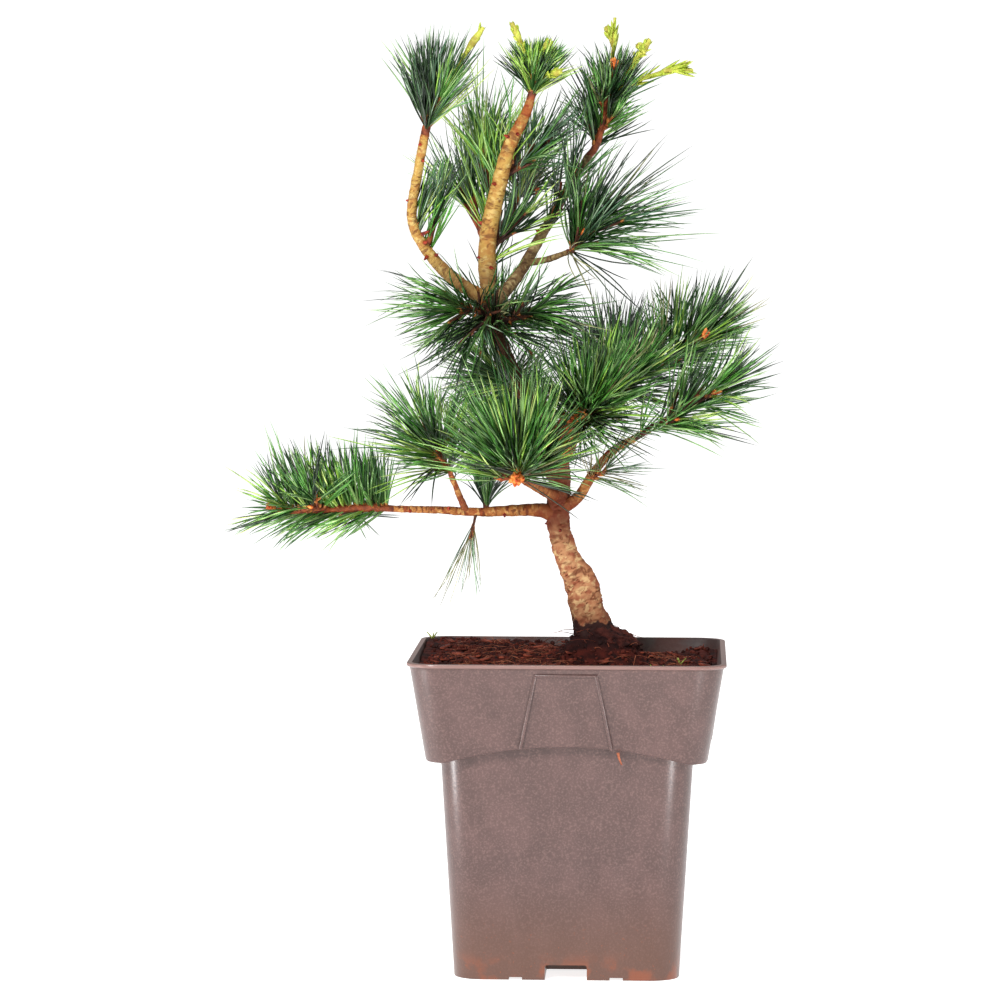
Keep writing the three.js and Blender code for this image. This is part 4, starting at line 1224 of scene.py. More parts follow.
# %% Relief of the bark
KNEE_HEIGHT = 158
KNEE_LENGTH = 7.5
KNEE_RISE = 1.1
FLARE_HEIGHT = 137
FLARE_LENGTH = 5
FLARE_RISE = 1.6
ROOTS = 5


def bark_relief(place, spacing, depth, seed):
    """How far the surface moves out, in mm, and how deep in a crack it lies, from 0 to 1."""
    shift = Vector((seed * 7.3, seed * 3.1, 0))
    lumps = noise.noise(place * 0.33 + shift)
    warp = noise.noise(place * 0.3 + shift) * 1.6
    step = place.z / spacing + warp
    from_crack = abs(step - round(step)) * spacing
    strength = noise.noise(Vector((place.x, place.y, place.z * 0.6)) * 0.34 + shift) * 2.4 + 0.45
    crack = max(0.0, 1 - from_crack / (0.2 * spacing)) * max(0.0, min(1.0, strength))
    grain = noise.noise(place * 1.1 + shift) + 0.6 * noise.noise(place * 2.4 + shift)
    return depth * (0.8 * lumps - 0.7 * crack + 0.35 * grain), crack


def frames_along(centres):
    """Two directions across the line at each of its points, turned as little as possible."""
    tangents = np.gradient(centres, axis=0)
    side = Vector(tangents[0]).orthogonal().normalized()
    frames = []
    for tangent in tangents:
        heading = Vector(tangent).normalized()
        side = (side - heading * side.dot(heading)).normalized()
        frames.append((side.copy(), heading.cross(side)))
    return frames


def roll_tube(centres, radii, sides, relief, swell=None):
    """A tube round a line, with its straightened place, crack depth and painted flank shade as
    attributes.
    """
    rings = len(centres) - 1
    bm = bmesh.new()
    bmesh.ops.create_grid(bm, x_segments=sides, y_segments=rings, size=1.0)
    place_layer = bm.verts.layers.float_vector.new("limb_place")
    depth_layer = bm.verts.layers.float.new("bark_depth")
    flank_shade_layer = bm.verts.layers.float.new("bark_flank_shade")
    run = run_lengths(centres)
    frames = frames_along(centres)
    for vertex in bm.verts:
        turn = math.pi * (vertex.co.x + 1)
        ring = round((vertex.co.y + 1) / 2 * rings)
        across, other = frames[ring]
        out = across * math.cos(turn) + other * math.sin(turn)
        radius = radii[ring]
        place = Vector((radius * math.cos(turn), radius * math.sin(turn), run[ring]))
        rise, crack = relief(place)
        centre = Vector(centres[ring])
        if swell:
            rise += swell(centre + out * radius, out)
        vertex.co = centre + out * (radius + rise)
        vertex[place_layer] = place * MM
        vertex[depth_layer] = crack
        # how far the point faces sideways, for the painted flank shade
        vertex[flank_shade_layer] = 1 - abs(out.y)
    bmesh.ops.remove_doubles(bm, verts=bm.verts, dist=1e-5)
    bmesh.ops.holes_fill(bm, edges=[edge for edge in bm.edges if edge.is_boundary], sides=0)
    bmesh.ops.recalc_face_normals(bm, faces=bm.faces)
    return bm


def knee_and_flare(point, out):
    near_knee = math.exp(-(((point.z - KNEE_HEIGHT) / KNEE_LENGTH) ** 2))
    near_foot = math.exp(-(((point.z - FLARE_HEIGHT) / FLARE_LENGTH) ** 2))
    roots = 0.5 + 0.5 * math.sin(ROOTS * math.atan2(out.y, out.x))
    return KNEE_RISE * near_knee * max(0.0, out.x) ** 1.5 + FLARE_RISE * near_foot * roots


# %% Trunk
TRUNK_STEP = 0.45
TRUNK_SIDES = 72
TRUNK_PLATES = 2.7
TRUNK_DEPTH = 0.8


def steps_for(path, step):
    return max(6, round(sum(math.dist(a[:3], b[:3]) for a, b in zip(path, path[1:])) / step))


def trunk_body():
    """The trunk as a tube, cut off flat at the ground and closed there."""
    centres, radii, _ = limb_line(TRUNK[2], steps_for(TRUNK[2], TRUNK_STEP))
    bm = roll_tube(centres, radii, TRUNK_SIDES,
                   lambda place: bark_relief(place, TRUNK_PLATES, TRUNK_DEPTH, 1), knee_and_flare)
    everything = bm.verts[:] + bm.edges[:] + bm.faces[:]
    cut_off = bmesh.ops.bisect_plane(bm, geom=everything, plane_co=(0, 0, GROUND), plane_no=(0, 0, -1),
                                     clear_outer=True)
    rim = [item for item in cut_off["geom_cut"] if isinstance(item, bmesh.types.BMEdge)]
    bmesh.ops.holes_fill(bm, edges=rim, sides=0)
    return bm


add_piece("bark_trunk", mesh_of(trunk_body()), [trunk_finish], ["trunk"], smooth_angle=50)

# %% Boughs, leaders and twigs
BOUGH_STEP = 0.5
BOUGH_SIDES = 30
BOUGH_PLATES = 2.0
BOUGH_DEPTH = 0.3
FIRST_BOUGH_SEED = 2


def add_limb(name, path, finish, seed):
    centres, radii, _ = limb_line(path, steps_for(path, BOUGH_STEP))
    bm = roll_tube(centres, radii, BOUGH_SIDES,
                   lambda place: bark_relief(place, BOUGH_PLATES, BOUGH_DEPTH, seed))
    add_piece("bark_" + name, mesh_of(bm), [finish], [name], smooth_angle=50)


bark_rows = [
    *[(bough_finish, *row) for row in BOUGHS],
    *[(leader_finish, *row) for row in LEADERS[:2]],
    *[(shaded_finish, *row) for row in LEADERS[2:]],
    *[(bough_finish, *row) for row in TWIGS[:1]],
    *[(shaded_finish, *row) for row in TWIGS[1:]],
]
for seed, (finish, name, path) in enumerate(bark_rows, FIRST_BOUGH_SEED):
    add_limb(name, path, finish, seed)
print("limbs dressed", len(bark_rows) + 1)

# %% [markdown]
# ## The foliage
#
# Each mass grows on a stem from a limb's tip or side. Its sprays leave the stem a golden angle
# apart, wide open at its foot and closing towards its tip, and lift bends them upwards. The rows,
# the seeds and the order of the draws repeat the source, so every spray of the solids is there as
# a bundle of five needles, and finer twigs and shoots carry more bundles within the same reach.
# What a row adds to that dresses its mass: how full it is, how its needles bend, which tints it has.

# %% The masses
DRESSING = {
    "tones": "low",  # the list that its bundles draw their tints from
    "fullness": 0.6,  # the share of its bundles that stand
    "level": -0.15,  # bundles that point lower than this stand by the share below
    "below": 1.0,
    "left": 1.0,  # and those that point to the left by this one
    "sweep": 0.0,  # how far needles bend up
    "lean": 0.0,  # and how far to the right
    "curl": 0.07,  # how unevenly they bend
    "slack": 14.0,  # how far they may reach into the space of another mass, in mm
    "top": 400,  # the height that they stay under, in mm
    "spread": 0,  # how far along the limb the finer bundles start, in mm
    "shoots": 0,  # fine shoots along the stem
    "droop": 0.0,  # how far the finer bundles and shoots hang
    "thick": 1.0,  # the stem's thickness against the solid's
    "candles": (),  # the tips of its pale new shoots, and the length of their needles
}


def mass(name, holder, near, end, spray, sprays, opening, closing, lift, comb=0.0, twigs=0,
         twig_length=0, **dressing):
    """A mass on a limb: it starts near a point, or at the limb's tip, and ends at another."""
    return {**DRESSING, "name": name, "holder": holder, "near": near, "end": end, "spray": spray,
            "sprays": sprays, "open": math.radians(opening), "close": math.radians(closing),
            "lift": lift, "comb": comb, "twigs": twigs, "twig_length": twig_length, **dressing}


MASSES = [
    mass("needles_left_tip", "bough_left_low", None, (-118, -12, 189.5), 32, 61, 88, 42, 0.2, 1.4, 2, 12,
         fullness=0.9, below=0.5, thick=1.25),
    mass("needles_left_hanging", "bough_left_low", (-38.5, -8, 186.2), (-41, -12, 179), 34, 9, 44, 10,
         -0.5, tones="faded", fullness=0.06, thick=0.35, slack=40),
    mass("needles_left_rising", "bough_left_low", (-35, -3, 191), (-35.5, -1, 198), 25, 10, 34, 8, 0.4,
         tones="dark", fullness=0.85, slack=40, curl=0.13),
    mass("needles_left_inner", "twig_left_inner", None, (-56, -20, 217), 42, 40, 78, 12, 0.2, 0, 2, 8,
         fullness=0.42, slack=24, shoots=3),
    mass("needles_front", "bough_front", None, (-20, -45, 208), 50, 48, 84, 26, 0.75, 0, 2, 9,
         fullness=0.85, level=0.2, below=0.06, sweep=0.04, slack=22),
    mass("needles_right_inner", "bough_right_inner", None, (8, -22, 231), 48, 48, 82, 24, 0.55, 0, 2, 9,
         fullness=0.9, droop=0.5, shoots=2),
    mass("needles_right_middle", "bough_right_upper", (14, 12.7, 235), (26, 1, 243), 40, 26, 62, 14, 0.25,
         fullness=0.5, shoots=3),
    mass("needles_right_upper", "bough_right_upper", None, (55, 15, 261), 36, 46, 68, 18, 0.45, 0, 2, 12,
         fullness=0.48, sweep=0.05, shoots=4),
    mass("needles_right_low", "bough_right_low", None, (60, -17, 240), 36, 46, 60, 14, 0.15, 0.25, 2, 12,
         fullness=0.38, shoots=4, thick=0.8),
    mass("needles_right_hanging", "bough_right_low", (8, -4, 203), (15, -10, 207), 32, 14, 52, 14, 0.1,
         tones="faded", fullness=0.22, thick=0.6),
    mass("needles_back_low", "bough_back_low", None, (-25, 54, 222), 42, 30, 84, 14, 0.3, 0, 2, 10,
         tones="dark", fullness=0.8),
    mass("needles_back_right", "bough_back_right", None, (20, 53, 248), 40, 28, 84, 14, 0.3, 0, 2, 10,
         tones="dark", fullness=0.7),
    mass("needles_back_middle", "trunk", (-20, 8, 240), (-32, 25, 245), 38, 26, 84, 12, 0.15,
         fullness=0.5),
    mass("whorl_left", "trunk", (-34.4, -1, 270), (-45, -8, 274), 42, 34, 78, 10, 0, tones="whorl",
         fullness=0.3, sweep=-0.04, spread=7, shoots=5, curl=0.11),
    mass("whorl_front", "trunk", (-33, -1, 274), (-35, -12, 266), 40, 30, 86, 34, -0.15, tones="whorl",
         fullness=0.2, sweep=-0.1, spread=7, shoots=4, curl=0.11),
    mass("whorl_right", "trunk", (-29, 3.4, 268), (-17, -5, 271), 42, 32, 76, 12, 0, tones="whorl",
         fullness=0.3, sweep=-0.12, spread=7, shoots=5, curl=0.11),
    mass("whorl_back", "trunk", (-30, 7, 264), (-29, 18, 269), 42, 26, 84, 12, 0.15, tones="whorl",
         fullness=0.35),
    mass("needles_left_leader", "leader_left", (-57.4, -8, 300), (-55, -9, 312), 32, 16, 30, 8, 0.5,
         tones="high", fullness=0.4, spread=12, curl=0.06, slack=6),
    mass("needles_left_top", "leader_left", None, (-57, -15, 356), 36, 34, 50, 8, 0.25, tones="high",
         fullness=0.5, sweep=0.07, level=0.5, below=0.15, top=392, shoots=5, curl=0.1,
         candles=[(-36, -16, 389, 5)]),
    mass("needles_centre_left", "leader_centre", (-36, -3, 298), (-41, 5, 312), 46, 34, 40, 8, 0.55,
         tones="high", fullness=0.27, spread=18, left=0.6, lean=0.05, sweep=0.1, slack=26, shoots=8,
         curl=0.17),
    mass("needles_centre_upper", "leader_centre", (-32.5, -5, 316), (-37, 5, 332), 38, 32, 34, 6, 0.5,
         tones="bright", fullness=0.5, spread=14, left=0.6, lean=0.06, sweep=0.14, slack=26, shoots=6,
         curl=0.17),
    mass("needles_centre_low", "leader_centre", (-33.5, -4, 297), (-24, 4, 307), 42, 28, 42, 10, 0.45,
         tones="high", fullness=0.15, spread=14, slack=26, shoots=6, curl=0.17),
    mass("needles_centre_right", "leader_centre", (-28, -6, 326), (-15, 1, 337), 37, 34, 48, 10, 0.5,
         tones="high", fullness=0.2, spread=16, slack=26, shoots=6, curl=0.17),
    mass("needles_centre_top", "leader_centre", None, (-14.5, -9, 368), 23, 26, 58, 12, 0.4, 0, 2, 7,
         tones="crown", fullness=1.0, sweep=0.1, level=0.55, below=0.25, top=387, shoots=5, curl=0.1,
         candles=[(-24.5, -14, 391, 5), (-9, -16, 384, 5), (-4, -21, 371, 5)]),
    mass("needles_right_top", "leader_right", None, (17, 12, 366), 29, 38, 64, 14, 0.35, 0, 2, 11,
         tones="whorl", fullness=0.6, sweep=0.06, top=385, shoots=6, curl=0.1,
         candles=[(17.5, 10, 394, 9), (32, 6, 385, 5), (49, 4, 375.5, 13)]),
    mass("needles_right_leader", "leader_right", (-8, 12, 311), (-1, 5, 323), 40, 32, 34, 8, 0.7,
         tones="high", fullness=0.09, spread=18, left=0.7, shoots=7, curl=0.17),
    mass("needles_right_fan", "twig_right_fan", None, (5, -9, 304), 46, 42, 72, 12, 0.6, tones="whorl",
         fullness=0.36, droop=0.9, left=0.15, sweep=-0.1, lean=0.1, slack=24, shoots=6, curl=0.17),
    mass("needles_upper_back", "twig_upper_back", None, (-21, 35, 330), 38, 26, 80, 14, 0.3, 0, 2, 9,
         fullness=0.35),
]
print("masses", len(MASSES))

# %% [markdown]
# ### The rule
#
# A small seeded generator gives the same draws as the source's, so the two grow the same tree.

# %% Helpers of the growing rule
GOLDEN_ANGLE = math.radians(137.5)
ANGLE_JITTER = 0.16
SPRAY_FIRST = 0.12
SPRAY_HALF_WIDTH = 1.5
CLEARANCE = 0.35
NEARBY = 12
STEM_TIP_RADIUS = 0.9
SIDE_STEM_RADIUS = 1.2
STEM_NARROWING = 0.95
STEM_BEND = 0.2
STEM_END = 0.999
SPINE_REACH = 0.5
WORD = 0xFFFFFFFF


def seeded_random(seed):
    state = seed & WORD

    def next_draw():
        nonlocal state
        state = (state + 0x6D2B79F5) & WORD
        mixed = (state ^ (state >> 15)) * (1 | state) & WORD
        mixed = (mixed + ((mixed ^ (mixed >> 7)) * (61 | mixed) & WORD)) & WORD ^ mixed
        return (mixed ^ (mixed >> 14)) / (WORD + 1)

    return next_draw


def leaving(heading, turn, angle, lift, comb=0.0):
    helper = UP if abs(heading.z) < 0.9 else EAST
    across = heading.cross(helper).normalized()
    other = heading.cross(across)
    outward = across * math.cos(turn) + other * math.sin(turn)
    drawn = UP if outward.z > 0 else heading
    away = heading * math.cos(angle) + outward * math.sin(angle)
    return (away + UP * lift + drawn * comb * abs(outward.z)).normalized()


def nearest_on_limb(centres, point):
    best = None
    for start, end in zip(centres, centres[1:]):
        along = end - start
        share = max(0.0, min(1.0, (point - start) @ along / (along @ along)))
        near = start + share * along
        if best is None or np.linalg.norm(near - point) < np.linalg.norm(best - point):
            best = near
    return best


def stem_path(row):
    centres, radii, heading, _ = limbs[row["holder"]]
    end = np.array(row["end"], float)
    if row["near"]:
        start = nearest_on_limb(centres, np.array(row["near"], float))
        points, foot = [start, (start + end) / 2, end], SIDE_STEM_RADIUS
    else:
        start = centres[-1] + SEAT_GAP * np.array(heading)
        bend = start + STEM_BEND * np.linalg.norm(end - start) * np.array(heading)
        points, foot = [start, bend, end], radii[-1]
    widths = foot, STEM_NARROWING * foot, STEM_TIP_RADIUS
    return [(*point, width) for point, width in zip(points, widths)]


def along_stem(centres, share):
    place = min(share, STEM_END) * (len(centres) - 1)
    before = int(place)
    start, end = Vector(centres[before]), Vector(centres[before + 1])
    return start.lerp(end, place - before), (end - start).normalized()


def first_share(row, centres):
    if not row["near"]:
        return SPRAY_FIRST
    limb_centres, limb_radii, _, _ = limbs[row["holder"]]
    close = np.linalg.norm(limb_centres - centres[0], axis=1) < NEARBY
    length = np.linalg.norm(centres[-1] - centres[0])
    return (limb_radii[close].max() + SPRAY_HALF_WIDTH + 2 * CLEARANCE) / length


# %% Growing the sprays of the solids
SOURCE_SEEDS = (1000, 37)
STEM_STATIONS = 3
TWIG_FIRST = 0.3
TWIG_SPAN = 0.55
TWIG_TURN = 0.6
TWIG_LIFT = 0.25
TWIG_ANGLE = math.radians(52)
TWIG_SPRAYS = 0.16


def lerp(low, high, share):
    return low + (high - low) * share


def opening_at(row, share):
    """The angle between a stem and its sprays, wide at its foot and narrow at its tip."""
    return math.acos(lerp(math.cos(row["open"]), math.cos(row["close"]), share))


def add_bundle(plan, point, heading, turn, share, jitter, length, droop=0.0):
    """One bundle at a point of the stem, as far open as its share of the stem says."""
    row = plan["row"]
    angle = opening_at(row, share) + ANGLE_JITTER * jitter
    direction = leaving(heading, turn, angle, row["lift"] - droop, row["comb"])
    plan["bundles"].append((point, direction, row["spray"] * length))


def grow_sprays(plan, random):
    """The source's sprays, in the source's order. Returns how many the stem itself carries."""
    row, centres, twigs = plan["row"], plan["centres"], plan["twigs"]
    for i in range(row["twigs"]):
        point, heading = along_stem(centres, TWIG_FIRST + TWIG_SPAN * i / row["twigs"])
        twigs.append((point, leaving(heading, i * GOLDEN_ANGLE + TWIG_TURN, TWIG_ANGLE, TWIG_LIFT)))
    first = first_share(row, centres)
    per_twig = round(row["sprays"] * TWIG_SPRAYS + 1e-9) if twigs else 0
    on_stem = row["sprays"] - per_twig * len(twigs)
    for i in range(on_stem):
        share = lerp(first, 1, i / (on_stem - 1))
        point, heading = along_stem(centres, share)
        jitter = random() - 0.5
        turn = i * GOLDEN_ANGLE + 0.3 * random()
        add_bundle(plan, point, heading, turn, share, jitter, 0.88 + 0.2 * random())
    for point, direction in twigs:
        for i in range(per_twig):
            share = lerp(0.35, 0.97, i / (per_twig - 1))
            start = point + direction * share * row["twig_length"]
            jitter = random() - 0.5
            turn = i * GOLDEN_ANGLE + random()
            add_bundle(plan, start, direction, turn, share, jitter, 0.8 + 0.2 * random())
    return on_stem


# %% [markdown]
# ### Finer growth
#
# The solids stop at sprays as thick as a bundle. Between them the scene grows more bundles, some
# of them spread along the limb itself, then short side twigs, then fine shoots with nine bundles
# each, so that needles stand in tufts and not all round one stem. Droop lets every second and
# third one hang a little, or a lot.

# %% Growing more bundles, side twigs and shoots
FINE_SEEDS = (5000, 41)
EXTRA_BUNDLES = 3.6
EXTRA_BESIDE_SHOOTS = 2.0
FINE_FIRST = 0.04
SPREAD_BELOW = 0.75
FINE_TWIGS = 2
FINE_TWIG_BUNDLES = 3
FINE_TWIG_ANGLE = math.radians(48)
SHOOT_SHARE = 0.38
SHOOT_BUNDLES = 9
SHOOT_OPEN = math.radians(50)
SHOOT_CLOSE = math.radians(10)


def along_holder(row, foot, offset):
    """A point on the limb that carries a mass, so many mm along from the foot of the mass."""
    line = limbs[row["holder"]][0]
    run = run_lengths(line)
    place = run[np.linalg.norm(line - foot, axis=1).argmin()] + offset
    return Vector([np.interp(place, run, line[:, axis]) for axis in range(3)])


def droop_of(row, i):
    """Every third twig keeps its lift, and the two after it hang by half and by all of the droop."""
    return row["droop"] * (i % 3) / 2


def grow_extra(plan, fine, on_stem):
    row, centres = plan["row"], plan["centres"]
    extra = round((EXTRA_BESIDE_SHOOTS if row["shoots"] else EXTRA_BUNDLES) * on_stem)
    for i in range(extra):
        share = lerp(FINE_FIRST, 1, (i + 0.5) / extra)
        point, heading = along_stem(centres, share)
        if row["spread"] and share < SPREAD_BELOW:
            point = along_holder(row, centres[0], row["spread"] * lerp(-1, 1, fine()))
        turn = (i + 0.5) * GOLDEN_ANGLE + 1.9 + 0.5 * fine()
        add_bundle(plan, point, heading, turn, share, fine() - 0.5, 0.8 + 0.22 * fine(), droop_of(row, i))


def grow_side_twigs(plan, fine):
    length = plan["row"]["twig_length"]
    for point, direction in plan["twigs"]:
        for i in range(FINE_TWIGS):
            start = point + direction * length * (0.45 + 0.3 * i)
            heading = leaving(direction, i * math.pi + 0.8, FINE_TWIG_ANGLE, 0.3)
            plan["fine_twigs"].append((start, heading, length * 0.5))
            for j in range(FINE_TWIG_BUNDLES):
                share = 0.5 + 0.22 * j
                tip = start + heading * share * length * 0.5
                turn = j * GOLDEN_ANGLE + fine()
                add_bundle(plan, tip, heading, turn, share, fine() - 0.5, 0.72 + 0.2 * fine())


def grow_shoots(plan, fine):
    row = plan["row"]
    for i in range(row["shoots"]):
        share = lerp(0.1, 0.95, (i + 0.5) / row["shoots"])
        point, heading = along_stem(plan["centres"], share)
        lift = row["lift"] - droop_of(row, i)
        turn = i * GOLDEN_ANGLE + 0.9 + fine()
        direction = leaving(heading, turn, 0.85 * opening_at(row, share), lift, row["comb"])
        reach = row["spray"] * SHOOT_SHARE * (0.7 + 0.4 * fine())
        plan["fine_twigs"].append((point, direction, reach))
        for j in range(SHOOT_BUNDLES):
            along = lerp(0.2, 1, j / (SHOOT_BUNDLES - 1))
            opened = lerp(SHOOT_OPEN, SHOOT_CLOSE, along) * (0.8 + 0.4 * fine())
            outward = leaving(direction, j * GOLDEN_ANGLE + fine(), opened, 0.2 * row["lift"])
            length = (1 - SHOOT_SHARE * along) * (0.84 + 0.18 * fine())
            plan["bundles"].append((point + direction * reach * along, outward, row["spray"] * length))


def grow_mass(index, row):
    """A mass's stem, twigs and shoots, and the foot, heading and length of each of its bundles."""
    path = stem_path(row)
    centres, _, _ = limb_line(path, STEM_STATIONS)
    plan = {"row": row, "path": path, "centres": centres, "twigs": [], "fine_twigs": [], "bundles": []}
    random, fine = (seeded_random(first + step * index) for first, step in (SOURCE_SEEDS, FINE_SEEDS))
    on_stem = grow_sprays(plan, random)
    grow_extra(plan, fine, on_stem)
    grow_side_twigs(plan, fine)
    grow_shoots(plan, fine)
    return plan


grown = [grow_mass(index, row) for index, row in enumerate(MASSES)]
print("bundles", sum(len(plan["bundles"]) for plan in grown))

# %% [markdown]
# ### Needles
#
# A needle is a slim three-sided strand that swells a little above its foot and ends in a point. A
# bundle opens by a few degrees, each needle bends its own way, and long ones sag. Needles that
# would run into a limb, cross in front of wood that shows its bark, or leave the space of their
# mass are left out. Needles that would pass the top of their tuft or the reach of the solids are
# shortened unevenly instead, so that no tuft looks clipped.

# %% The needle's shape
NEEDLE_STEPS = 6
NEEDLE_RADIUS = 0.35
NEEDLES_PER_BUNDLE = 5
INNER_SIDE = -0.3


def needle_girth(share):
    return min(1.0, 0.6 + 1.6 * share) * (1 - share ** 5) ** 0.8 + 0.04


needle_mesh = strand_shape(NEEDLE_STEPS, 3, needle_girth)
# one side of three takes the paler finish: whitish lines with a painted highlight
for face in needle_mesh.faces:
    face.material_index = 1 if face.normal.y < INNER_SIDE else 0
needle_template = template_of(needle_mesh)
print("needle triangles", len(needle_template[1]))

# %% Needles that a limb stops, or that would hide bare wood
LIMB_PIECES = 24
STEM_PIECES = 16
BARE_DEPTH = 40
FLAT = np.array([1, 0, 1])
BARE_WOOD = [  # a limb or the stem of a mass, and the x and the z between which its bark shows
    ("leader_left", (-200, 200), (288, 400)),
    ("leader_centre", (-200, 200), (288, 400)),
    ("needles_left_tip", (-112, 0), (0, 400)),
    ("needles_right_low", (54, 200), (0, 400)),
    ("needles_right_top", (-200, 200), (337, 349)),
]
limb_pieces = {name: limb_line(path, LIMB_PIECES)[:2] for name, (_, _, _, path) in limbs.items()}
stem_pieces = {plan["row"]["name"]: limb_line(plan["path"], STEM_PIECES)[:2] for plan in grown}


def distance_to_line(points, start, end):
    along = end - start
    share = np.clip((points - start) @ along / (along @ along), 0, 1)
    return np.linalg.norm(points - start - share[..., None] * along, axis=-1)


def bare_part(name, x_range, z_range):
    """The segments of a limb or stem that start within both ranges, each with its radius."""
    line, radii = limb_pieces.get(name) or stem_pieces[name]
    return [(start, end, radius) for start, end, radius in zip(line, line[1:], radii)
            if x_range[0] <= start[0] <= x_range[1] and z_range[0] <= start[2] <= z_range[1]]


bare_pieces = [piece for row in BARE_WOOD for piece in bare_part(*row)]


def hits_limb(points, own):
    """True for a strand with a point inside a limb. The limb that carries it counts further out."""
    hit = np.zeros(len(points), bool)
    for name, (line, radii) in limb_pieces.items():
        for start, end, radius in zip(line, line[1:], radii):
            near = distance_to_line(points, start, end) < radius + CLEARANCE
            hit |= near[:, 2:].any(axis=1) if name == own else near.any(axis=1)
    return hit


def hides_bare_wood(points):
    """True for a strand that would cross in front of a leader or shoot that shows its bark."""
    hides = np.zeros(len(points), bool)
    outer = points[:, 1:]
    for start, end, radius in bare_pieces:
        before = distance_to_line(outer * FLAT, start * FLAT, end * FLAT) < radius + CLEARANCE
        before &= (outer[..., 1] < start[1]) & (outer[..., 1] > start[1] - BARE_DEPTH)
        hides |= before.any(axis=1)
    return hides


print("bare pieces", len(bare_pieces))

# %% Needles that keep to their own space
UNEVEN = 9
SHORTEST = 0.4
OVERHANG = 1.5
UNEVEN_REACH = 0.5


def spine_of(plan):
    foot, tip = plan["centres"][0], plan["centres"][-1]
    heading = (tip - foot) / np.linalg.norm(tip - foot)
    return foot, tip + SPINE_REACH * plan["row"]["spray"] * heading


spines = [spine_of(plan) for plan in grown]


def keeps_space(points, index, slack):
    """True for strands whose outer points lie nearer their own spine than any other, with slack."""
    gaps = np.stack([distance_to_line(points, *spine) for spine in spines])
    own = gaps[index].copy()
    gaps[index] = np.inf
    return (own < gaps.min(axis=0) + slack).all(axis=1)


def share_within(feet, runs, lengths, top, uneven):
    """The share of each needle that fits under the tuft's top and in the reach of the solids."""
    low = np.array(cad_low) / MM - OVERHANG
    high = np.array(cad_high) / MM + OVERHANG
    runs = runs * lengths[:, None]
    room = np.where(runs > 0, high - feet, feet - low) - UNEVEN_REACH * uneven[:, None]
    under_top = np.where(runs[:, 2] > 0, top - feet[:, 2] - uneven, np.inf)
    room[:, 2] = np.minimum(room[:, 2], under_top)
    return np.clip((room / np.maximum(0.1, np.abs(runs))).min(axis=1), SHORTEST, 1)


# %% Five needles from each bundle
BUNDLE_SPREAD = (0.05, 0.24)
NEEDLE_BEND = (-0.14, 0.08)
NEEDLE_SAG = (-0.6, 2.2)
NEEDLE_LENGTHS = (0.74, 1.04)
NEEDLE_WIDTHS = (0.8, 1.12)
SAG = 0.06
OWN_CURL = 0.65
LOWEST_NEEDLE = POT_HEIGHT + 8
LEFTWARD = -0.1
CHECKED_SHARES = np.linspace(0.1, 1.0, 10)
FADED_WIDTH = 0.6


def fivefold(values):
    """Repeats what holds for a bundle for each of its needles."""
    return np.repeat(values, NEEDLES_PER_BUNDLE, axis=0)


def bundle_columns(plan):
    """The feet, headings and lengths of a mass's bundles as arrays."""
    feet, headings, lengths = zip(*plan["bundles"])
    return np.array([foot[:] for foot in feet]), np.array([h[:] for h in headings]), np.array(lengths)


def open_bundles(plan, draw):
    """The feet, headings, bends and lengths of all the needles of a mass."""
    row, count, total = plan["row"], len(plan["bundles"]), NEEDLES_PER_BUNDLE * len(plan["bundles"])
    feet, axes, lengths = (fivefold(column) for column in bundle_columns(plan))
    across, other = side_vectors(axes)
    turns = np.tile(np.arange(NEEDLES_PER_BUNDLE) * 2 * math.pi / NEEDLES_PER_BUNDLE, count)
    turns = turns + fivefold(draw.uniform(0, 2 * math.pi, count))
    outward = across * np.cos(turns)[:, None] + other * np.sin(turns)[:, None]
    headings = unit(axes + draw.uniform(*BUNDLE_SPREAD, total)[:, None] * outward)
    bends = outward * draw.uniform(*NEEDLE_BEND, total)[:, None]
    flat = np.sqrt(np.maximum(0, 1 - headings[:, 2] ** 2))
    bends[:, 2] -= SAG * flat * draw.uniform(*NEEDLE_SAG, total)
    bends[:, 2] += row["sweep"]
    bends[:, 0] += row["lean"]
    bends += fivefold(draw.normal(0, row["curl"], size=(count, 3)))
    bends += draw.normal(0, OWN_CURL * row["curl"], size=(total, 3))
    lengths = lengths * draw.uniform(*NEEDLE_LENGTHS, total)
    lengths *= share_within(feet, headings + bends, lengths, row["top"], draw.uniform(0, UNEVEN, total))
    return feet, headings, bends, lengths


def standing(plan, index, strands, draw):
    """True for the needles that stand: clear of wood, soil and other masses, and chosen by fullness."""
    row = plan["row"]
    points = run_along(*strands, CHECKED_SHARES)
    keep = keeps_space(points[:, 4:], index, row["slack"]) & ~hits_limb(points, row["holder"])
    keep &= ~hides_bare_wood(points)
    keep &= points[:, :, 2].min(axis=1) > LOWEST_NEEDLE
    _, headings, _ = bundle_columns(plan)
    chance = row["fullness"] * np.where(headings[:, 2] < row["level"], row["below"], 1.0)
    chance *= np.where(headings[:, 0] < LEFTWARD, row["left"], 1.0)
    return keep & fivefold(draw.uniform(0, 1, len(headings)) < chance)
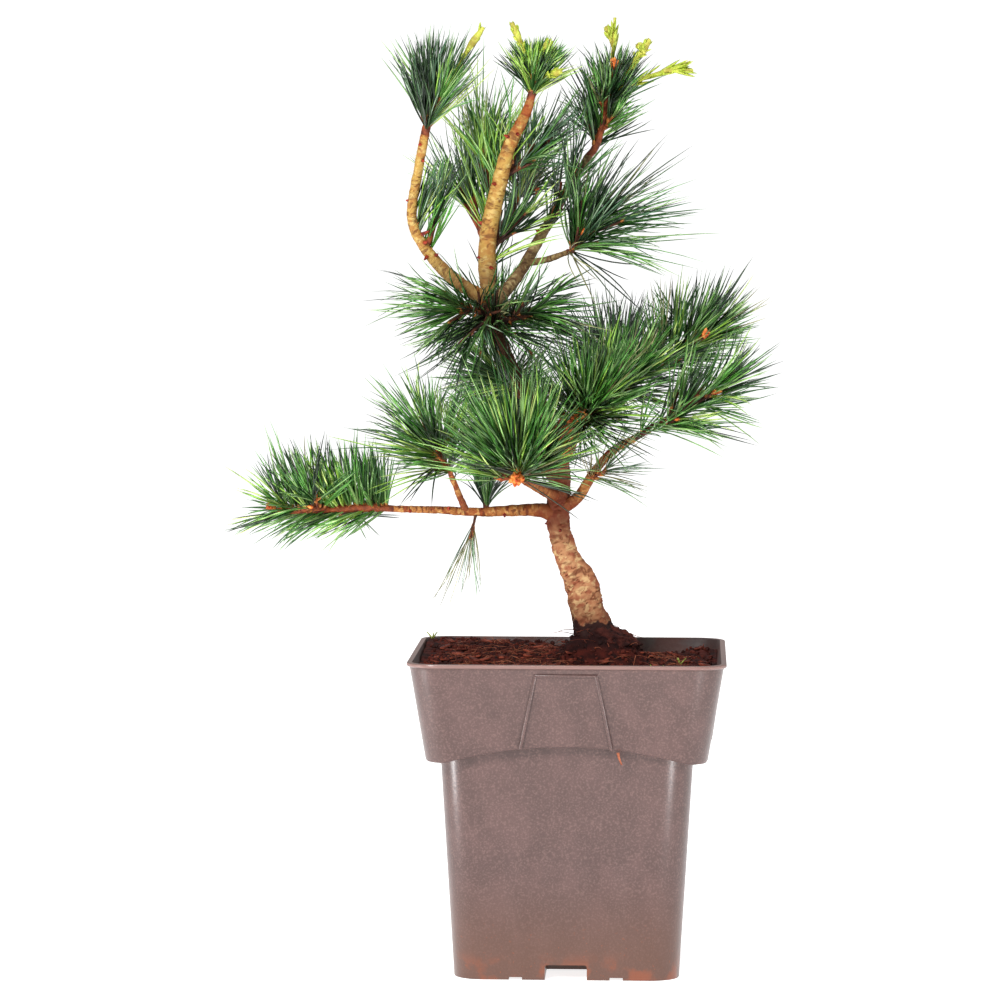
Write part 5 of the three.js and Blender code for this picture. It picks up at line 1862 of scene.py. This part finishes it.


# %% [markdown]
# ### Which tint a bundle gets
#
# The low tufts are green with a few bright bundles, the whorl under the fork is dark, and the top
# tufts mix blue-green and dark bundles. The masses given the dark list, most of them at the back,
# draw mostly the darkest tint, as painted shade. Each bundle draws its tint from its mass's list.
# Needles of one tint make one piece, which stands for every mass that has some of them.

# %% All the needles
TONES = {  # the tints of a mass and the share of each
    "low": (("forest", 0.31), ("grass", 0.33), ("deep", 0.22), ("leaf", 0.12), ("straw", 0.02)),
    "whorl": (("deep", 0.36), ("forest", 0.3), ("grass", 0.2), ("bluish", 0.1), ("straw", 0.04)),
    # painted shade: the darkest tints, for masses that stand in shade
    "dark": (("deep", 0.7), ("forest", 0.2), ("bluish", 0.1)),
    "high": (("deep", 0.34), ("forest", 0.22), ("bluish", 0.18), ("grass", 0.2), ("leaf", 0.06)),
    "bright": (("leaf", 0.5), ("grass", 0.34), ("forest", 0.16)),
    "crown": (("deep", 0.26), ("forest", 0.24), ("grass", 0.28), ("leaf", 0.22)),
    "faded": (("bluish", 0.4), ("straw", 0.35), ("forest", 0.25)),
}
needle_groups = {tone: [] for tone in NEEDLE_TINTS}
tone_masses = {tone: set() for tone in NEEDLE_TINTS}
sheath_rows = []

draw = np.random.default_rng(71)
for index, plan in enumerate(grown):
    row = plan["row"]
    names, weights = zip(*TONES[row["tones"]])
    tones = draw.choice(len(names), size=len(plan["bundles"]), p=np.array(weights) / sum(weights))
    strands = open_bundles(plan, draw)
    keep = standing(plan, index, strands, draw)
    widths = NEEDLE_RADIUS * draw.uniform(*NEEDLE_WIDTHS, len(keep))
    if row["tones"] == "faded":
        widths *= FADED_WIDTH
    rolls = draw.uniform(0, 2 * math.pi, len(keep))
    for number, tone in enumerate(names):
        chosen = keep & fivefold(tones == number)
        if chosen.any():
            columns = [column[chosen] for column in (*strands, widths, rolls)]
            needle_groups[tone].append(place_strands(needle_template, *columns))
            tone_masses[tone].add(row["name"])
    stands = keep.reshape(-1, NEEDLES_PER_BUNDLE).any(axis=1)
    sheath_rows += [(foot, heading) for (foot, heading, _), on in zip(plan["bundles"], stands) if on]
for tone, groups in needle_groups.items():
    name = "needles_" + tone
    add_piece(name, joined_mesh(name, groups), needle_finishes[tone], sorted(tone_masses[tone]))

# %% [markdown]
# ### Stems, sheaths and buds
#
# Under the needles a shoot is red-brown and rough with the scars of old bundles, so it is rolled
# as the limbs are. It swells from the end of its bough to its own thickness. Each bundle sits in a
# short sheath, the shoots end in a cluster of orange winter buds, and a few short shoots at the
# front carry clusters that show. Old spurs leave dark red nubs on the leaders and boughs.

# %% Stems and twigs of the masses
STEM_RINGS = 14
STEM_SIDES = 10
TWIG_SIDES = 8
FINE_TWIG_SIDES = 7
STEM_SWELL = 1.1
SWELL_END = 0.25
STEM_ROUGHNESS = 0.22
TWIG_ROUGHNESS = 0.2
FINE_ROUGHNESS = 0.15
SHOOT_PLATES = 1.6
STEM_SEED, TWIG_SEED, FINE_TWIG_SEED, BUD_SHOOT_SEED = 50, 90, 130, 170
TWIG_RADII = 0.95 * np.linspace(1.1, 0.75, 7)
FINE_TWIG_RADII = 0.95 * np.linspace(0.8, 0.5, 5)
BUD_SHOOT_RADII = np.full(6, 1.0)
BUD_SHOOTS = [
    ((1, -5, 217), (-4, -27, 215)), ((3.5, -10, 224.5), (-3.5, -27, 226)),
    ((6, -17, 228.5), (1, -28, 229.5)), ((49, 14.5, 258), (55, -6, 262)),
    ((17, 12, 364), (17.5, 7, 373)), ((-20, -43, 207), (-20.5, -45, 206.5)),
]
SHADED_MASSES = (
    "whorl", "needles_left_rising", "needles_left_hanging", "needles_right_low", "needles_right_fan",
    "needles_centre_low", "needles_centre_right", "needles_upper",
)


def add_tube(bm, line, radii, sides, seed, rough):
    tube = roll_tube(line, radii, sides, lambda place: bark_relief(place, SHOOT_PLATES, rough, seed))
    spare = bpy.data.meshes.new("spare")
    tube.to_mesh(spare)
    tube.free()
    bm.from_mesh(spare)
    bpy.data.meshes.remove(spare)


def straight_line(point, run, stations):
    return np.array([point + run * share for share in np.linspace(0, 1, stations)])


def add_stems(bm, index, plan):
    """The stem of a mass, sunk 1 mm into its limb, with its twigs and fine shoots."""
    row = plan["row"]
    line, radii, _ = limb_line(plan["path"], STEM_RINGS)
    line[0] -= (line[1] - line[0]) / np.linalg.norm(line[1] - line[0])
    swell = np.interp(np.linspace(0, 1, len(radii)), (0, SWELL_END), (1, STEM_SWELL * row["thick"]))
    add_tube(bm, line, radii * swell, STEM_SIDES, STEM_SEED + index, STEM_ROUGHNESS)
    for point, direction in plan["twigs"]:
        line = straight_line(point, direction * row["twig_length"], len(TWIG_RADII))
        add_tube(bm, line, TWIG_RADII, TWIG_SIDES, TWIG_SEED + index, TWIG_ROUGHNESS)
    for point, direction, reach in plan["fine_twigs"]:
        line = straight_line(point, direction * reach, len(FINE_TWIG_RADII))
        add_tube(bm, line, FINE_TWIG_RADII, FINE_TWIG_SIDES, FINE_TWIG_SEED + index, FINE_ROUGHNESS)


def is_shaded(plan):
    return plan["row"]["name"].startswith(SHADED_MASSES)


for name, finish, shaded in (("shoot_stems", shoot_finish, False),
                             ("shoot_stems_shaded", dark_shoot_finish, True)):
    stems = bmesh.new()
    masses = [(index, plan) for index, plan in enumerate(grown) if is_shaded(plan) == shaded]
    for index, plan in masses:
        add_stems(stems, index, plan)
    for number, ends in enumerate([] if shaded else BUD_SHOOTS):
        line = np.linspace(*np.array(ends, float), len(BUD_SHOOT_RADII))
        add_tube(stems, line, BUD_SHOOT_RADII, TWIG_SIDES, BUD_SHOOT_SEED + number, FINE_ROUGHNESS)
    add_piece(name, mesh_of(stems), [finish], [plan["row"]["name"] for _, plan in masses],
              smooth_angle=50)

# %% Sheaths at the feet of the bundles
SHEATH_LENGTH = 3.4
SHEATH_RADIUS = 0.62


def sheath_girth(share):
    return 0.7 + 0.5 * math.sin(math.pi * min(1.0, share * 1.15)) - 0.35 * share


def columns_of(rows):
    return (np.array([value[:] for value in column]) for column in zip(*rows))


sheath_template = template_of(strand_shape(3, 5, sheath_girth))
draw = np.random.default_rng(83)
feet, headings = columns_of(sheath_rows)
lengths = SHEATH_LENGTH * draw.uniform(0.8, 1.15, len(feet))
radii = SHEATH_RADIUS * draw.uniform(0.85, 1.15, len(feet))
sheaths = place_straight(draw, sheath_template, feet, headings, lengths, radii)
add_piece("needle_sheaths", joined_mesh("sheaths", [sheaths]), [sheath_finish], smooth_angle=60)

# %% Winter buds: small ones at the tips of the shoots, and the clusters that show at the front
BUD_LENGTH = 5.2
BUD_RADIUS = 1.25
BUDS_PER_TIP = 3
BUD_TURN = 2.1
BUD_LEAN = 0.45
BUD_TWIG_SHARE = 0.7
OUTER_BUD = 0.75
CLUSTER_OPENING = 0.75
BUD_CLUSTERS = [  # where a cluster stands, where it points, how many buds and their length
    ((-20.5, -45, 206), (0, -1, -0.15), 12, 7.0), ((-3.5, -27, 226), (0.75, -0.4, 0.5), 5, 8.0),
    ((1, -28, 229.5), (0.8, -0.4, 0.45), 5, 7.5), ((-4, -27, 215), (0.5, -0.4, 0.7), 4, 8.0),
    ((55, -6, 262), (0.25, -0.4, 0.9), 2, 5.0), ((-122, -13, 191), (-0.8, -0.4, 0.4), 4, 4.6),
    ((17.5, 7, 373), (0, -0.4, 0.9), 6, 5.0),
]


def bud_girth(share):
    ripple = 0.1 * math.sin(share * 26)
    return max(0.06, math.sin(math.pi * min(1.0, 0.28 + 0.72 * share)) ** 0.75 + ripple)


def tip_buds(tip, heading, buds, length):
    """A bud straight ahead, and smaller ones that lean out round it."""
    for i in range(buds):
        toward = leaving(heading, i * BUD_TURN, BUD_LEAN if i else 0.08, 0.1)
        yield tip[:], toward[:], length * (OUTER_BUD if i else 1.0)


def cluster_buds(place, heading, buds, length):
    """Buds that open like a fist, the outer ones smaller."""
    for i in range(buds):
        opened = CLUSTER_OPENING * math.sqrt(i / buds)
        toward = leaving(Vector(heading).normalized(), i * GOLDEN_ANGLE, opened, 0)
        yield place, toward[:], length * (1 - 0.3 * i / buds)


bud_template = template_of(strand_shape(10, 7, bud_girth))
draw = np.random.default_rng(97)
bud_rows = []
for plan in grown:
    row = plan["row"]
    if row["candles"] or row["near"] or row["name"] == "needles_left_inner":
        continue
    bud_rows += tip_buds(*along_stem(plan["centres"], 0.97), BUDS_PER_TIP, BUD_LENGTH)
    for point, direction in plan["twigs"]:
        tip = point + direction * row["twig_length"] * 0.95
        bud_rows += tip_buds(tip, direction, 1, BUD_TWIG_SHARE * BUD_LENGTH)
for cluster in BUD_CLUSTERS:
    bud_rows += cluster_buds(*cluster)
feet, headings, lengths = (np.array(column) for column in zip(*bud_rows))
lengths = lengths * draw.uniform(0.85, 1.15, len(lengths))
buds = place_straight(draw, bud_template, feet, headings, lengths, BUD_RADIUS * lengths / BUD_LENGTH)
add_piece("winter_buds", joined_mesh("buds", [buds]), [bud_finish], smooth_angle=60)

# %% Spur nubs on the leaders and boughs, by the place of their tips
NUBS = {
    "leader_left": [(-58.4, -11, 305.5), (-59, -12, 301), (-54.8, -9, 296), (-60.5, -11, 293.5),
                    (-67.6, -11, 318), (-60.2, -15, 334), (-62.6, -16, 341)],
    "leader_centre": [(-38.8, -5, 309), (-39, -5, 294.5), (-32, -7.5, 290), (-32.5, -10.5, 325),
                      (-21.5, -12, 345), (-27.6, -11.5, 345)],
    "leader_right": [(-15, 7.5, 306), (-7, 9.5, 322), (-3.5, 10, 314)],
    "bough_left_low": [(-50, -10, 191.5), (-27, -6.5, 187), (-66, -12, 189)],
    "bough_right_low": [(7, -7.5, 206), (15, -10.5, 214.5)],
    "trunk": [(-10.5, -1, 184), (-4, -6, 181.5)],
}
NUB_SINK = 0.8
NUB_SHORTEST = 1.8
NUB_RADIUS = 0.9
NUB_GIRTH = 0.42


def nub_on(name, tip):
    """The foot, heading and length of a nub that grows out of a limb towards its tip."""
    line, radii = limb_pieces[name]
    near = nearest_on_limb(line, tip)
    radius = radii[np.linalg.norm(line - near, axis=1).argmin()]
    reach = np.linalg.norm(tip - near)
    heading = (tip - near) / reach
    return near + heading * (radius - NUB_SINK), heading, max(NUB_SHORTEST, reach - radius + NUB_SINK)


nub_template = template_of(strand_shape(4, 7, lambda share: max(0.15, math.cos(1.3 * share))))
draw = np.random.default_rng(101)
nub_rows = [nub_on(name, np.array(tip, float)) for name, tips in NUBS.items() for tip in tips]
feet, headings, lengths = (np.array(column) for column in zip(*nub_rows))
nubs = place_straight(draw, nub_template, feet, headings, lengths,
                      np.minimum(NUB_RADIUS, lengths * NUB_GIRTH))
add_piece("spur_nubs", joined_mesh("nubs", [nubs]), [nub_finish], smooth_angle=60)

# %% [markdown]
# ### Candles
#
# The new shoots at the top are pale yellow-green and stand out of their tufts. Most are still
# short and end in a knob of needles that are pressed to the shoot. The long ones have opened, and
# a few fork.

# %% Candle stems
CANDLE_RADIUS = 0.9
CANDLE_FOOT = 0.9
CANDLE_SIDES = 8
OPEN_CANDLE = 8
KNOB = 0.84
KNOB_LENGTH = 0.11
FORKS = [  # foot, tip and the length of the needles
    ((16.6, 10.5, 382), (14.2, 9, 390.5), 5), ((30, 6.5, 379), (27, 5, 383), 4),
    ((38, 5.5, 372), (50, 3, 372), 11),
]


def open_girth(share):
    return 1.05 - 0.4 * share + 0.12 * math.sin(share * 40)


def knobbed_girth(share):
    return 0.8 + 1.1 * math.exp(-((share - KNOB) / KNOB_LENGTH) ** 2)


open_strand = template_of(strand_shape(10, CANDLE_SIDES, open_girth))
knobbed_strand = template_of(strand_shape(20, CANDLE_SIDES, knobbed_girth))
draw = np.random.default_rng(113)
candles = []
for plan in grown:
    foot = along_stem(plan["centres"], CANDLE_FOOT)[0]
    candles += [(foot, Vector((x, y, z)), needle) for x, y, z, needle in plan["row"]["candles"]]
candles += [(Vector(foot), Vector(tip), needle) for foot, tip, needle in FORKS]
candle_feet = np.array([foot[:] for foot, _, _ in candles])
candle_runs = np.array([(tip - foot)[:] for foot, tip, _ in candles])
candle_lengths = np.linalg.norm(candle_runs, axis=1)
candle_bends = draw.normal(0, 0.05, size=(len(candles), 3))
candle_headings = candle_runs / candle_lengths[:, None] - candle_bends
opens = np.array([needle > OPEN_CANDLE for _, _, needle in candles])
radii, rolls = np.full(len(candles), CANDLE_RADIUS), np.zeros(len(candles))
columns = (candle_feet, candle_headings, candle_bends, candle_lengths, radii, rolls)
stems = [place_strands(template, *[column[kind] for column in columns])
         for template, kind in ((open_strand, opens), (knobbed_strand, ~opens))]
add_piece("candle_stems", joined_mesh("candles", stems), [candle_finish], smooth_angle=60)

# %% Candle needles
TUFTS = 12
OPEN_TUFTS = 6
NEEDLES_PER_TUFT = 3
TUFT_BACK = 0.8


def candle_needles(number, needle):
    """The foot, heading, length and width of each needle of a candle, tuft by tuft."""
    wide = needle > OPEN_CANDLE
    tufts, first = (OPEN_TUFTS, 0.3) if wide else (TUFTS, 0.5)
    angles, width = ((0.05, 0.4), 0.66) if wide else ((0.15, 0.6), 0.62)
    heading = Vector(candle_runs[number]).normalized()
    for i in range(tufts):
        share = lerp(first, 1.0, (i / (tufts - 1)) ** 0.7)
        bent = candle_headings[number] * share + candle_bends[number] * share ** 2
        place = candle_feet[number] + (candle_lengths[number] - TUFT_BACK * needle) * bent
        for _ in range(NEEDLES_PER_TUFT):
            angle = draw.uniform(*angles)
            outward = leaving(heading, draw.uniform(0, FULL_TURN), angle, 0.05)
            yield place, outward[:], needle * draw.uniform(0.6, 1.05), width


rows = [row for number, (_, _, needle) in enumerate(candles) for row in candle_needles(number, needle)]
feet, headings, lengths, widths = (np.array(column) for column in zip(*rows))
bends = draw.normal(0, 0.07, size=(len(rows), 3))
widths = widths * draw.uniform(0.8, 1.2, len(rows))
rolls = draw.uniform(0, FULL_TURN, len(rows))
pressed = place_strands(needle_template, feet, headings, bends, lengths, widths, rolls)
add_piece("candle_needles", joined_mesh("candle_needles", [pressed]), [candle_needle_finish] * 2)

# %% Sizes and finish
print("cad box", [round(c, 4) for c in (*cad_low, *cad_high)])
